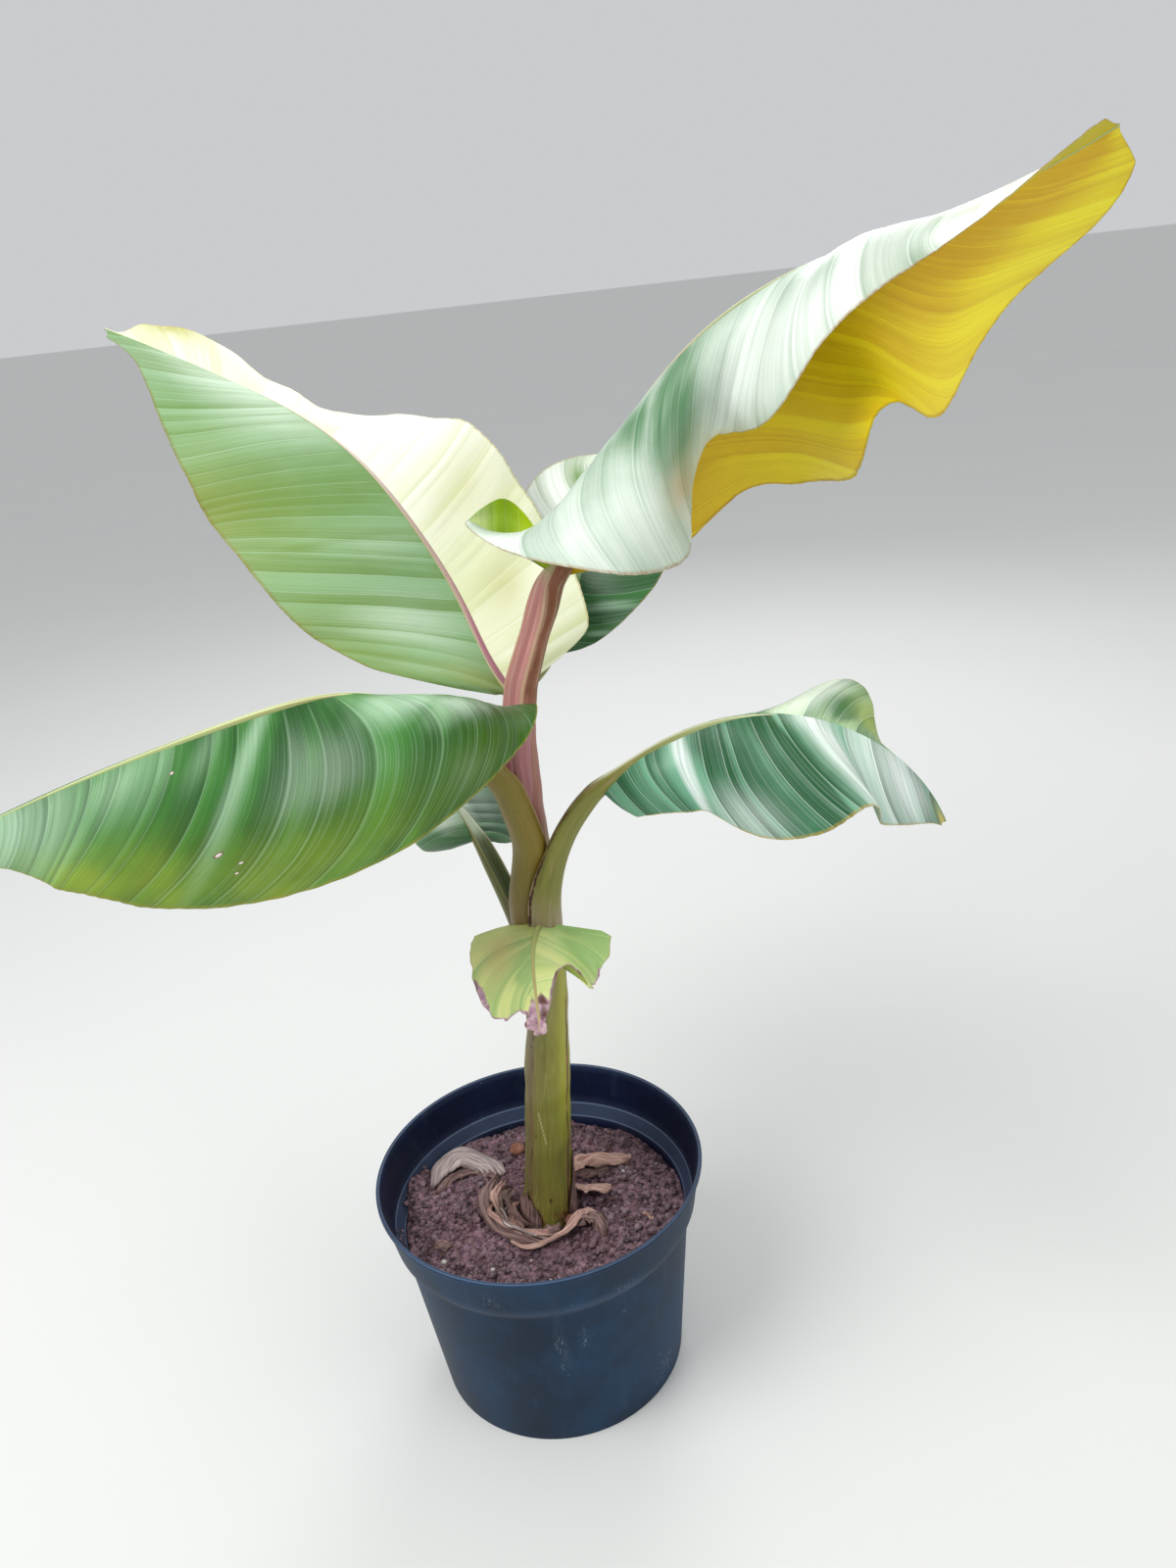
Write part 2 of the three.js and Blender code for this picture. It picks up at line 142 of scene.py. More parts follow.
# Shares of the radius: the channel's depth on the stalk and on the blade, its lips and the flutes
CHANNEL_DEPTHS = (0.62, 0.28)
LIP_HEIGHT = 0.05
FLUTE_HEIGHT = 0.012
FLUTES = 9
# How deep each midrib's centre lies under the blade, as a share of its radius, and its size there
MIDRIB_SINK = {"upper_left": 0.15, "upper_right": 0.5, "withered": 0.2}
MIDRIB_SHARE = {"upper_left": 0.6, "withered": 0.8}
# How far each stalk's channel is turned at the stem, in degrees
TWISTS = {"upper_right": 50, "upper_left": 20}
# Where a stalk leaves its smooth curve, and where it swells: how far or by what share, and the
# distances from the foot at which this begins, is full, is full still and has ended, all in mm
BULGES = {
    "lower_left": [((15, 0, 0), 0, 70, 110, 162), ((0, 7, 0), -60, -20, 40, 100)],
    "lower_right": [((-4, -4, 0), -120, -100, 10, 60)],
    "upper_right": [((-4.5, 0, 0), 0, 35, 105, 135)],
    "back_right": [((-9, 0, 0), -10, 12, 35, 75)],
}
SWELLS = {
    "lower_right": [(0.25, -120, -100, 10, 60)],
    "lower_left": [(0.08, -120, -100, 90, 140)],
    "upper_right": [(0.05, -10, 40, 70, 110), (0.35, 65, 105, 120, 160)],
}

# Blades: how finely they are divided, and their thickness at the margin
BLADE_STEP = 0.0016
BLADE_COLUMNS = 34
BLADE_THICK = 0.0005
# Sizes of a torn margin's ripples, of slow unevenness and of crumples; how high the unevenness is;
# how short a side vein has to be before the relief fades; and how wide bands are to each other
TEAR_SIZES = (0.022, 0.006)
UNEVEN_SIZE = 0.09
CRUMPLE_SIZE = 0.014
UNEVEN_HEIGHT = 0.0016
SHORT_VEIN = 0.03
BAND_WIDTHS = [0.5, 0.8, 1.0, 1.6]

# Leaves, as the solids have them but for small corrections: where the stalk leaves the
# stem, the lengths of stalk and blade, heading and rise in degrees at five knots, the limb's radii,
# and for each half blade the length, sweep, droop and curl of its side veins at stations along it
STATIONS = (0, 0.15, 0.35, 0.6, 0.85, 1)
LEAVES = {
    "upper_left": {
        "foot": (42, 6, 598), "stalk": 22, "blade": 484, "radii": (4.5, 5.5, 1.3),
        "heading": (165, 138, 132, 149, 153), "rise": (59, 51, 49, 27, 23),
        "left": {
            "vein": (95, 122, 135, 112, 42, 6), "sweep": (34, 10, 16, 13, 40, 60),
            "droop": (-15, -6, 8, 6, -6, 10), "curl": (48, 15, 24, 25, 8, 10),
        },
        "right": {
            "vein": (82, 112, 124, 50, 54, 6), "sweep": (2, 27, 25, 26, 50, 60),
            "droop": (-20, -10, -15, -3, -20, 10), "curl": (10, 20, 13, 22, 5, 10),
        },
    },
    "upper_right": {
        "foot": (32, -4, 603), "stalk": 111, "blade": 447, "radii": (13, 8.5, 1.3),
        "heading": (-11, -8, -17, -29, -31), "rise": (69, 66, 45, 13, 26),
        "left": {
            "stations": (0, 0.16, 0.25, 0.35, 0.6, 0.85, 1), "vein": (8, 84, 103, 134, 115, 94, 6),
            "sweep": (0, -22, 0, 0, 14, 0, 60), "droop": (72, 56, 57, 58, 82, 42, 42),
            "curl": (47, 22, 18, 18, 70, -14, 10),
        },
        "right": {
            "stations": (0, 0.1, 0.2, 0.35, 0.5, 0.7, 0.85, 1),
            "vein": (71, 88, 119, 138, 132, 102, 68, 6), "sweep": (15, -17, -25, -33, -41, -14, 2, 60),
            "droop": (-94, -61, -32, 10, 41, -18, 14, -20), "curl": (8, 70, 96, 98, 150, 92, -12, 0),
        },
    },
    "back_right": {
        "foot": (42, 19, 572), "stalk": 88, "blade": 300, "radii": (3.5, 6, 1.3),
        "heading": (74, 61, 56, 33, 22), "rise": (76, 12, 60, 25, 15),
        "left": {
            "vein": (14, 50, 80, 70, 33, 5), "sweep": (15, 8, 35, 50, 38, 60),
            "droop": (-8, -12, -10, 10, 12, 5), "curl": (18, 10, 10, 25, 25, 10),
        },
        "right": {
            "vein": (13, 48, 73, 68, 37, 5), "sweep": (16, 8, 10, 18, 38, 60),
            "droop": (0, -2, 10, 12, 9, 5), "curl": (8, 5, 18, 22, 20, 10),
        },
    },
    "lower_left": {
        "foot": (21, -14, 446), "stalk": 149, "blade": 397, "radii": (13.5, 11.5, 1.3),
        "heading": (200, 201, 202, 203, 207), "rise": (88, 64, 3, -8, -14),
        "left": {
            "stations": (0, 0.1, 0.2, 0.35, 0.6, 0.85, 1), "vein": (58, 98, 141, 149, 98, 28, 5),
            "sweep": (5, -17, -5, 30, 48, 38, 65), "droop": (-104, -72, -26, 32, 44, 47, 30),
            "curl": (50, 120, 128, 80, 48, 18, 10),
        },
        "right": {
            "vein": (70, 110, 120, 110, 60, 5), "sweep": (-40, -5, 10, 15, 30, 65),
            "droop": (20, 25, 30, 35, 30, 20), "curl": (20, 20, 20, 20, 20, 10),
        },
    },
    "lower_right": {
        "foot": (35, -14, 448), "stalk": 120, "blade": 292, "radii": (12, 9, 1.3),
        "heading": (-14, -25, -31, -31, -26), "rise": (86, 43, 20, -18, -70),
        "left": {
            "vein": (33, 73, 67, 80, 28, 5), "sweep": (0, -2, -8, 6, 8, 40),
            "droop": (25, 21, 22, -4, 20, 0), "curl": (9, 2, 18, 5, 9, 10),
        },
        "right": {
            "stations": (0, 0.15, 0.28, 0.42, 0.58, 0.68, 0.85, 1),
            "vein": (34, 55, 63, 115, 106, 83, 40, 5), "sweep": (4, 11, 2, 33, 40, 34, 48, 45),
            "droop": (45, 40, 50, 34, 8, 14, 12, 0), "curl": (45, 45, 45, 12, 8, 10, 10, 8),
        },
    },
    "back_left": {
        "foot": (14, 11, 427), "stalk": 78, "blade": 270, "radii": (9, 7.5, 1.2),
        "heading": (130, 113, 136, 150, 160), "rise": (70, 36, 13, -5, -15),
        "left": {
            "vein": (56, 58, 75, 73, 41, 5), "sweep": (19, 24, 13, 14, 35, 65),
            "droop": (-5, 12, 20, 20, 15, 10), "curl": (105, 52, 20, 18, 18, 10),
        },
        "right": {
            "vein": (39, 59, 81, 75, 42, 5), "sweep": (-11, -3, 0, 13, 35, 65),
            "droop": (2, 5, -4, 7, 10, 10), "curl": (62, 38, 10, 16, 18, 10),
        },
    },
    "withered": {
        "foot": (37, -14, 442), "stalk": 14, "blade": 104, "radii": (4.5, 3, 1.1),
        "heading": (228, 244, 259, 267, 268), "rise": (13, 8, -14, -37, -50),
        "left": {
            "vein": (56, 58, 52, 18, 8, 4), "sweep": (-6, 0, 20, -10, 25, 30),
            "droop": (8, 20, 21, 5, 27, 20), "curl": (-12, 34, 29, 5, 26, 20),
        },
        "right": {
            "vein": (63, 60, 62, 31, 15, 4), "sweep": (-8, -5, 23, 25, 34, 30),
            "droop": (4, 12, 30, 40, 36, 20), "curl": (20, 29, 40, 45, 38, 20),
        },
    },
}

# How each half blade looks. Pleats are the spacing and the height of its ribbed bands, wave is the
# margin's height and length, bow is how far its veins bend before they reach the margin, slant is
# how far its bands run along the leaf as they go out, and torn is how ragged the margin is. A patch
# is a kind, a centre along and across the half, its reach each way, and its strength. A spot is a
# place along and across and a radius in millimetres. Crumple is how high the dried parts crumple
# and lobe how tall the rolled corner is, in millimetres too. Round is the share of the blade along
# which its base is rounded, contrast how much the bands differ, and creases how strongly the pale
# lines between them show.
CREASES = 0.26
# Most pale patches below are painted sheen and glare where a leaf faces the light, and some deep patches are
# painted shadows.
LOOKS = {
    ("upper_left", "left"): {
        "pleats": (0.014, 0.0007), "wave": (0.0012, 0.085), "contrast": 0.75, "bow": 0.15, "slant": 0.3,
        "patches": [
            ("tint", 0.46, 1.0, 0.15, 0.38, 0.9), ("tint", 0.12, 0.95, 0.09, 0.33, 1.0),
            ("tint", 0.0, 0.1, 0.05, 0.5, 0.8), ("deep", 0.43, 0.45, 0.06, 0.7, 0.5),
            ("pale", 0.72, 0.15, 0.2, 0.5, 0.7), ("pale", 0.15, 0.4, 0.07, 0.35, 0.55),
            ("pale", 0.31, 0.25, 0.06, 0.4, 0.4), ("deep", 0.325, 0.4, 0.008, 0.5, 0.3),
        ],
    },
    ("upper_left", "right"): {
        "pleats": (0.015, 0.0006), "wave": (0.0025, 0.06), "contrast": 0.7, "bow": 0.1,
        "patches": [
            ("tint", 0.31, 0.52, 0.045, 0.35, 0.45), ("tint", 0.15, 0.34, 0.04, 0.3, 0.55),
            ("tint", 0.24, 0.7, 0.02, 0.3, 0.3), ("pale", 0.45, 0.5, 0.15, 1.0, 0.8),
            ("tint", 0.84, 0.95, 0.06, 0.35, 0.9),
        ],
    },
    ("upper_right", "left"): {
        "pleats": (0.013, 0.0006), "wave": (0.003, 0.13), "contrast": 0.7, "bow": 0.2, "slant": 1.3,
        "patches": [
            ("deep", 0.80, 0.2, 0.2, 0.3, 0.5), ("pale", 0.85, 0.8, 0.25, 0.4, 0.8),
            ("pale", 0.35, 0.95, 0.2, 0.3, 0.5), ("deep", 0.2, 0.5, 0.1, 0.6, 0.4),
        ],
    },
    ("upper_right", "right"): {
        "pleats": (0.016, 0.0007), "wave": (0.0015, 0.12), "contrast": 0.3, "bow": 0.3,
        "round": 0.004, "lobe": 30, "creases": 0.12,
        "patches": [
            ("deep", 0.39, 0.30, 0.045, 0.24, 0.85), ("deep", 0.31, 0.25, 0.03, 0.18, 0.6),
            ("deep", 0.67, 0.45, 0.02, 0.2, 0.4), ("pale", 0.2, 0.8, 0.15, 0.4, 0.5),
            # Painted shade: the tint patch at 0.40 is the brownish shade where the flap turns under.
            ("pale", 0.6, 0.6, 0.2, 0.6, 0.9), ("tint", 0.40, 0.68, 0.035, 0.13, 0.7),
            ("tint", 1.0, 0.5, 0.16, 1.2, 1.0),
        ],
    },
    ("back_right", "left"): {
        "pleats": (0.014, 0.0006), "wave": (0.0015, 0.07), "bow": 0.3,
        # Painted light: the pale patch is sunlit glare on this half, and the deep patch is the shadow that
        # the upper right leaf casts on it.
        "patches": [("pale", 0.43, 0.6, 0.15, 0.7, 1.0), ("deep", 0.49, 0.55, 0.03, 0.35, 1.0)],
    },
    ("back_right", "right"): {
        "pleats": (0.014, 0.0006), "wave": (0.002, 0.07), "contrast": 0.6, "bow": 0.3,
        "patches": [("pale", 0.19, 0.6, 0.018, 0.7, 0.75), ("pale", 0.10, 0.8, 0.012, 0.3, 0.5)],
    },
    ("lower_left", "left"): {
        "pleats": (0.017, 0.0008), "wave": (0.0012, 0.11), "bow": 0.45, "creases": 0.2,
        "patches": [
            ("pale", 0.21, 0.22, 0.055, 0.14, 1.0), ("pale", 0.16, 0.42, 0.035, 0.12, 0.7),
            ("pale", 0.265, 0.25, 0.025, 0.22, 0.4), ("pale", 0.41, 0.3, 0.018, 0.6, 0.7),
            ("pale", 0.49, 0.15, 0.03, 0.3, 0.45), ("pale", 0.62, 0.2, 0.10, 0.4, 0.45),
            ("deep", 0.35, 0.4, 0.025, 0.8, 0.55), ("deep", 0.28, 0.7, 0.05, 0.4, 0.35),
            ("tint", 0.60, 0.92, 0.12, 0.18, 0.75), ("tint", 0.43, 0.93, 0.06, 0.12, 0.6),
            ("tint", 0.31, 0.96, 0.04, 0.1, 0.5), ("pale", 0.03, 0.5, 0.06, 0.35, 0.55),
            ("tint", 0.46, 0.85, 0.3, 0.22, 0.5), ("pale", 0.82, 0.5, 0.16, 0.8, 0.8),
            ("deep", 0.12, 0.8, 0.1, 0.35, 0.9), ("deep", 0.04, 0.75, 0.05, 0.25, 0.7),
        ],
        "spots": [
            (0.555, 0.25, 1.3), (0.43, 0.74, 1.9), (0.395, 0.78, 1.0), (0.39, 0.83, 0.7), (0.12, 0.4, 0.9),
        ],
    },
    ("lower_left", "right"): {
        "pleats": (0.016, 0.0007), "wave": (0.003, 0.09), "bow": 0.6,
        "patches": [("tint", 0.9, 0.8, 0.1, 0.5, 0.8), ("pale", 0.4, 0.4, 0.1, 0.4, 0.5)],
    },
    ("lower_right", "left"): {
        "pleats": (0.013, 0.0006), "wave": (0.0015, 0.07), "bow": 0.2,
        "patches": [
            ("pale", 0.55, 0.6, 0.1, 0.6, 0.9), ("deep", 0.64, 0.42, 0.045, 0.25, 1.0),
            ("tint", 0.71, 0.75, 0.06, 0.35, 0.9),
        ],
    },
    ("lower_right", "right"): {
        "pleats": (0.012, 0.0007), "wave": (0.001, 0.065), "bow": 0.25,
        "patches": [
            ("pale", 0.26, 0.5, 0.02, 0.9, 1.0), ("pale", 0.36, 0.85, 0.06, 0.35, 0.55),
            ("deep", 0.33, 0.2, 0.04, 0.3, 0.6), ("deep", 0.475, 0.5, 0.03, 0.9, 1.0),
            ("pale", 0.60, 0.5, 0.06, 1.2, 0.85), ("pale", 0.80, 0.4, 0.14, 1.0, 0.8),
            ("tint", 0.97, 0.8, 0.035, 0.6, 1.0),
        ],
    },
    ("back_left", "left"): {
        "pleats": (0.013, 0.0006), "wave": (0.003, 0.07), "bow": 0.4,
        "patches": [("pale", 0.1, 0.3, 0.08, 0.3, 0.7), ("pale", 0.4, 0.5, 0.1, 0.5, 0.4)],
    },
    ("back_left", "right"): {
        "pleats": (0.013, 0.0006), "wave": (0.003, 0.06), "bow": 0.4,
        "patches": [("deep", 0.1, 0.45, 0.05, 0.4, 0.7), ("pale", 0.2, 0.1, 0.15, 0.12, 0.8)],
    },
    ("withered", "left"): {
        "pleats": (0.009, 0.0004), "wave": (0.002, 0.045), "contrast": 0.8, "bow": 0.15,
        "torn": 0.03, "crumple": 4.5,
        "patches": [
            ("deep", 0.06, 0.7, 0.14, 0.4, 0.9), ("dry", 0.2, 1.0, 0.10, 0.06, 0.8),
            ("dry", 0.62, 1.0, 0.25, 0.12, 1.0), ("dry", 0.93, 0.5, 0.2, 1.0, 1.3),
        ],
    },
    ("withered", "right"): {
        "pleats": (0.009, 0.0004), "wave": (0.002, 0.05), "contrast": 0.8, "bow": 0.15,
        "torn": 0.03, "crumple": 4.5,
        "patches": [
            ("deep", 0.46, 0.2, 0.2, 0.2, 0.8), ("tint", 0.2, 0.5, 0.12, 0.3, 0.8),
            ("dry", 0.28, 0.98, 0.07, 0.10, 0.8), ("dry", 0.5, 1.0, 0.3, 0.04, 0.9),
            ("dry", 0.72, 1.0, 0.12, 0.22, 1.0), ("dry", 0.93, 0.4, 0.2, 1.0, 1.3),
        ],
    },
}

# Leaf colours on the upper and the lower side: deep, middle, pale, tinted and dried
GREEN_BACK = ("#648a5c", "#8fae84", "#bccfb4", "#a9b25c", "#8a6a48")
PALETTES = {
    ("upper_left", "left"): (("#6f944a", "#90b886", "#d2e6cc", "#8a9218", "#86543c"), GREEN_BACK),
    # Painted light: this half's upper side is near white, as full sunlight falls on it.
    ("upper_left", "right"): (("#dde3aa", "#f8f9e0", "#fefef4", "#bab646", "#86543c"), GREEN_BACK),
    # Painted light: the left half is golden yellow below, for light shining through it; the right half is
    # near white above for full sunlight, and its upper tint paints the brown shade where it turns under and
    # also tints its tip.
    ("upper_right", "left"): (
        ("#6f9868", "#cfe3d0", "#f2faf2", "#b9cf8a", "#86543c"),
        ("#d8aa04", "#f8da04", "#fff630", "#c49a10", "#7a4a20"),
    ),
    ("upper_right", "right"): (
        ("#4f8052", "#dde9da", "#f4faf2", "#b08634", "#86543c"),
        ("#8fa80e", "#bccc18", "#dce444", "#d0ae0c", "#7a4a20"),
    ),
    ("back_right", "left"): (("#5f8a2c", "#b9ccae", "#fafbf6", "#b9b04a", "#86543c"), GREEN_BACK),
    ("back_right", "right"): (("#0e4214", "#246420", "#a8c8ac", "#7f8f34", "#86543c"), GREEN_BACK),
    ("lower_left", "left"): (("#14500c", "#3a8228", "#b0d2b0", "#a2b626", "#86543c"), GREEN_BACK),
    ("lower_left", "right"): (
        ("#1a5a12", "#3c8628", "#b0d2b0", "#a2b626", "#86543c"),
        ("#8f9a10", "#a9b83c", "#c6d06a", "#d2c814", "#7a4a20"),
    ),
    ("lower_right", "left"): (("#1f6624", "#a6c890", "#e6f2de", "#9fb43a", "#86543c"), GREEN_BACK),
    ("lower_right", "right"): (("#14552e", "#6aa684", "#f4fcf8", "#d6c03c", "#86543c"), GREEN_BACK),
    ("back_left", "left"): (("#3c6a3c", "#6f9a6c", "#d2dccf", "#93ac2c", "#86543c"), GREEN_BACK),
    ("back_left", "right"): (("#234f2a", "#568a56", "#d0dcce", "#93ac2c", "#86543c"), GREEN_BACK),
    ("withered", "left"): (
        ("#a4ca78", "#e8ee9c", "#fafcd0", "#d8ca74", "#b0869c"),
        ("#6f9a28", "#a3ab4c", "#c9c888", "#b9a24a", "#7c5058"),
    ),
    ("withered", "right"): (
        ("#a2c472", "#ecee98", "#fafac8", "#ceba78", "#b0869c"),
        ("#6f9a28", "#a3ab4c", "#c9c888", "#b9a24a", "#7c5058"),
    ),
}

# The upper right leaf's rolled corner: its rows, thickness, length round it, the way that it stands
# and its colours in front and behind
LOBE_ROWS = 36
LOBE_HALF_THICK = 0.0003
LOBE_LENGTH = 0.07
LOBE_UP = (0.10, 0.30, 0.95)
# Painted light: the lime front stands for light shining through the corner.
LOBE_FRONT = ("#86a80c", "#b2d010", "#e4f0b0", "#d2e020", "#86543c")
LOBE_BACK = ("#9fb890", "#dbe8d8", "#f3f9f1", "#c8d088", "#86543c")

# A blade's roughness and the depth of its fine relief, above and below
UPPER_SKIN = (0.32, 0.0003)
LOWER_SKIN = (0.48, 0.0006)
LOBE_SKINS = ((0.42, 0.0003), (0.4, 0.0006))

# Limb colours: outside, channel, the channel's rims, the midrib's top at the blade's foot and at its
# tip, and the stalk's foot
LIMBS = {
    "upper_left": ("#a5a35c", "#b07f86", "#e4dfb8", "#a8607c", "#eef0d2", "#a4666c"),
    "upper_right": ("#8a4a28", "#bd8280", "#e0c8a4", "#cdd6b0", "#e6ecc8", "#b4727a"),
    "back_right": ("#8a8f4c", "#a5a070", "#d2d0a0", "#c9d3a8", "#dfe6c8", "#a4666c"),
    "lower_left": ("#836c16", "#857f30", "#a87848", "#dfe6a8", "#e6ebb8", "#937840"),
    "lower_right": ("#8c8c38", "#8c8448", "#b88c7a", "#d6e0bc", "#e2e6bc", "#b09a84"),
    "back_left": ("#76763a", "#50603a", "#c2b48a", "#c6d2bc", "#cdd8b8", "#7d6c3a"),
    "withered": ("#9aa04c", "#b3bd6a", "#c9c488", "#cbd48c", "#b99a6a", "#9a8a50"),
}

# The slots of each leaf's left and right half, where they aren't dark
LEAF_SLOTS = {
    "upper_left": ("leaf_pale", "leaf_pale"),
    "upper_right": ("leaf_yellow", "leaf_pale"),
    "withered": ("leaf_withered", "leaf_withered"),
}
SEED = 11


def rgb(code):
    """Linear colour of a hex code."""
    parts = [int(code[i:i + 2], 16) / 255 for i in (1, 3, 5)]
    return tuple(p / 12.92 if p <= 0.04045 else ((p + 0.055) / 1.055) ** 2.4 for p in parts) + (1.0,)


class Value:
    """What a node of a material gives out, for use in sums."""

    def __init__(self, paint, socket):
        self.paint, self.socket = paint, socket

    def __add__(self, other):
        return self.paint.math("ADD", self, other)

    def __mul__(self, other):
        return self.paint.math("MULTIPLY", self, other)

    def __sub__(self, other):
        return self.paint.math("SUBTRACT", self, other)

    def __rsub__(self, other):
        return self.paint.math("SUBTRACT", other, self)

    __radd__, __rmul__ = __add__, __mul__

    def band(self, low, high, kind="LINEAR"):
        """Share of the way from low to high, held between 0 and 1."""
        inputs = {"Value": self, "From Min": low, "From Max": high}
        return self.paint.node("MapRange", inputs, "Result", interpolation_type=kind)

    def step(self, low, high):
        """0 where the value is at low or under, 1 at high or over, smooth between."""
        return self.band(low, high, "SMOOTHSTEP")


class Paint:
    """One procedural material, built node by node, with its colour laid on in coats."""

    def __init__(self, name):
        self.material = bpy.data.materials.new(name)
        self.material.use_nodes = True
        self.tree = self.material.node_tree
        self.colour = None

    def put(self, node, inputs):
        """Links or sets a node's inputs; a text is the hex code of a colour."""
        for key, value in inputs.items():
            if isinstance(value, Value):
                self.tree.links.new(value.socket, node.inputs[key])
            else:
                node.inputs[key].default_value = rgb(value) if isinstance(value, str) else value

    def node(self, kind, inputs, output=0, **settings):
        """One output of a new node with these inputs and settings."""
        made = self.tree.nodes.new(f"ShaderNode{kind}")
        for name, value in settings.items():
            setattr(made, name, value)
        self.put(made, inputs)
        return Value(self, made.outputs[output])

    def math(self, operation, first, second=0.0):
        return self.node("Math", {0: first, 1: second}, operation=operation)

    def mix(self, share, first, second):
        return self.node("Mix", {0: share, 6: first, 7: second}, 2, data_type="RGBA")

    def coat(self, colour, share):
        """Lays a colour over what is there, as thickly as share says."""
        self.colour = self.mix(share, self.colour, colour)

    def mark(self, name, output="Fac"):
        """The value or vector kept under a name on the mesh."""
        return self.node("Attribute", {}, output, attribute_name=name)

    def place(self, mark, stretch):
        """Coordinates of the object, or those kept in a mark of the mesh, stretched."""
        source = self.mark(mark, "Vector") if mark else self.node("TexCoord", {}, "Object")
        return self.node("VectorMath", {0: source, 1: stretch}, operation="MULTIPLY")

    def chance(self, value):
        """A random value from 0 to 1 that depends on a number."""
        return self.node("TexWhiteNoise", {"W": value}, "Value", noise_dimensions="1D")

    def noise(self, size, detail=3.0, roughness=0.55, mark=None):
        """Noise with so many waves in a metre: one number, or one for each direction."""
        stretch, scale = ((1, 1, 1), size) if np.isscalar(size) else (size, 1.0)
        inputs = {"Vector": self.place(mark, stretch), "Scale": scale, "Detail": detail}
        return self.node("TexNoise", {**inputs, "Roughness": roughness}, "Fac")

    def dots(self, size, inner, outer, mark=None, stretch=(1, 1, 1)):
        """Soft dots in the middles of random cells, so many cells in a metre."""
        inputs = {"Vector": self.place(mark, stretch), "Scale": size}
        return 1.0 - self.node("TexVoronoi", inputs, "Distance").step(inner, outer)

    def speckle(self, colour, share, dots, patches):
        """Coat of dots where a noise of some size lies past a low level, and fully past a high one."""
        size, low, high = patches
        self.coat(colour, self.dots(*dots) * self.noise(size, 1.0).step(low, high) * share)

    def finish(self, roughness, height, depth, specular=0.5, tint=(1, 1, 1)):
        bump = self.node("Bump", {"Height": height, "Distance": depth, "Strength": 0.8}, "Normal")
        self.put(self.tree.nodes["Principled BSDF"], {
            "Base Color": self.colour, "Roughness": roughness, "Normal": bump,
            "Specular IOR Level": specular, "Specular Tint": (*tint, 1),
        })
        return self.material


def blade_paint(name, palette, rough, depth, shift, contrast=1.0, creases=CREASES, spots=()):
    """Leaf skin: banded between its pleats with painted shading, painted sheen on pale patches and bright
    facets, fine side veins, thin pale creases with painted shade beside them, and dried margins.
    """
    deep, middle, pale, tinted, dried = palette
    paint = Paint(name)
    out, along, phase = (paint.node("SeparateXYZ", {0: paint.mark("veins", "Vector")}, k) for k in range(3))
    share, number = paint.math("FRACT", phase), paint.math("FLOOR", phase)
    pick, lean = paint.chance(number + shift), paint.chance(number + (shift + 37.3))
    streak = paint.noise((9, 330, 0), mark="veins")
    fine = paint.noise((4, 1300, 0), 1.0, mark="veins")
    blotch, fray = paint.noise(13.0, 4.0), paint.noise(70.0, 4.0)
    # Painted shade: each band between pleats has its own tone and a gradient from edge to edge, as if its
    # tilted facet caught more or less light.
    tone = (pick - 0.5) * 0.62 + (share - 0.5) * (lean - 0.1) * 0.9 + (streak - 0.5) * 0.4
    tone = tone * contrast + 0.47 + (blotch - 0.5) * 0.7
    tone = tone - paint.mark("deep") * (pick * 1.6 + 0.2)
    paint.colour = paint.mix(tone.step(0.0, 0.8), deep, middle)
    # Painted sheen: where the pale mark lies, and on the brightest facets, the leaf is whitened as if it
    # mirrored the light.
    bloom_and_sheen = (paint.mark("pale") + (pick - 0.5) * 0.35).step(0.0, 1.0) * streak.band(-0.2, 0.7)
    bloom_and_sheen = bloom_and_sheen * (1.0 - paint.mark("deep"))
    paint.coat(pale, bloom_and_sheen * paint.mark("pale").step(0.0, 0.25))
    paint.coat(pale, tone.step(0.8, 1.2) * 0.4)
    paint.coat(tinted, paint.mark("tint") * blotch.band(0.15, 0.6))
    near = paint.math("MINIMUM", share, 1.0 - share)
    crease = (1.0 - near.step(0.008, 0.04)) * paint.mark("across").step(0.0, 0.1)
    paint.coat(pale, crease * creases)
    # Painted shade: a darker line along each side of a crease.
    paint.coat(deep, (near.step(0.03, 0.06) - near.step(0.06, 0.16)) * 0.22)
    paint.coat(pale, fine.step(0.5, 0.72) * 0.12)
    paint.coat(deep, fine.step(0.5, 0.25) * 0.12)
    paint.speckle("#7d5a3a", 0.5, (75.0, 0.03, 0.06), (9.0, 0.64, 0.7))
    rim = paint.mark("across").step(0.972, 0.995) * streak.band(0.2, 0.6)
    paint.coat(paint.mix(0.5, dried, tinted), rim * 0.75)
    edge = (paint.mark("dry") + (fray - 0.5) * 0.9).step(0.46, 0.58)
    papery = paint.mix(paint.noise(240.0).step(0.4, 0.6), dried, "#cdb0b4")
    paint.coat(paint.mix(fray.step(0.52, 0.7), papery, "#6a3f36"), edge)
    for spot_out, spot_along, radius in spots:
        square = paint.math("POWER", out - spot_out, 2.0) + paint.math("POWER", along - spot_along, 2.0)
        away = paint.math("SQRT", square) + (fray - 0.5) * (radius * 1.2)
        paint.coat("#6b4a34", 0.8 - away.step(radius, radius * 1.5))
        paint.coat("#e8dcd4", 1.0 - away.step(radius * 0.5, radius))
    height = fine * 0.8 + streak * 0.7 + fray * (edge * 2.0)
    return paint.finish(blotch * 0.16 + rough + edge * 0.3, height, depth)


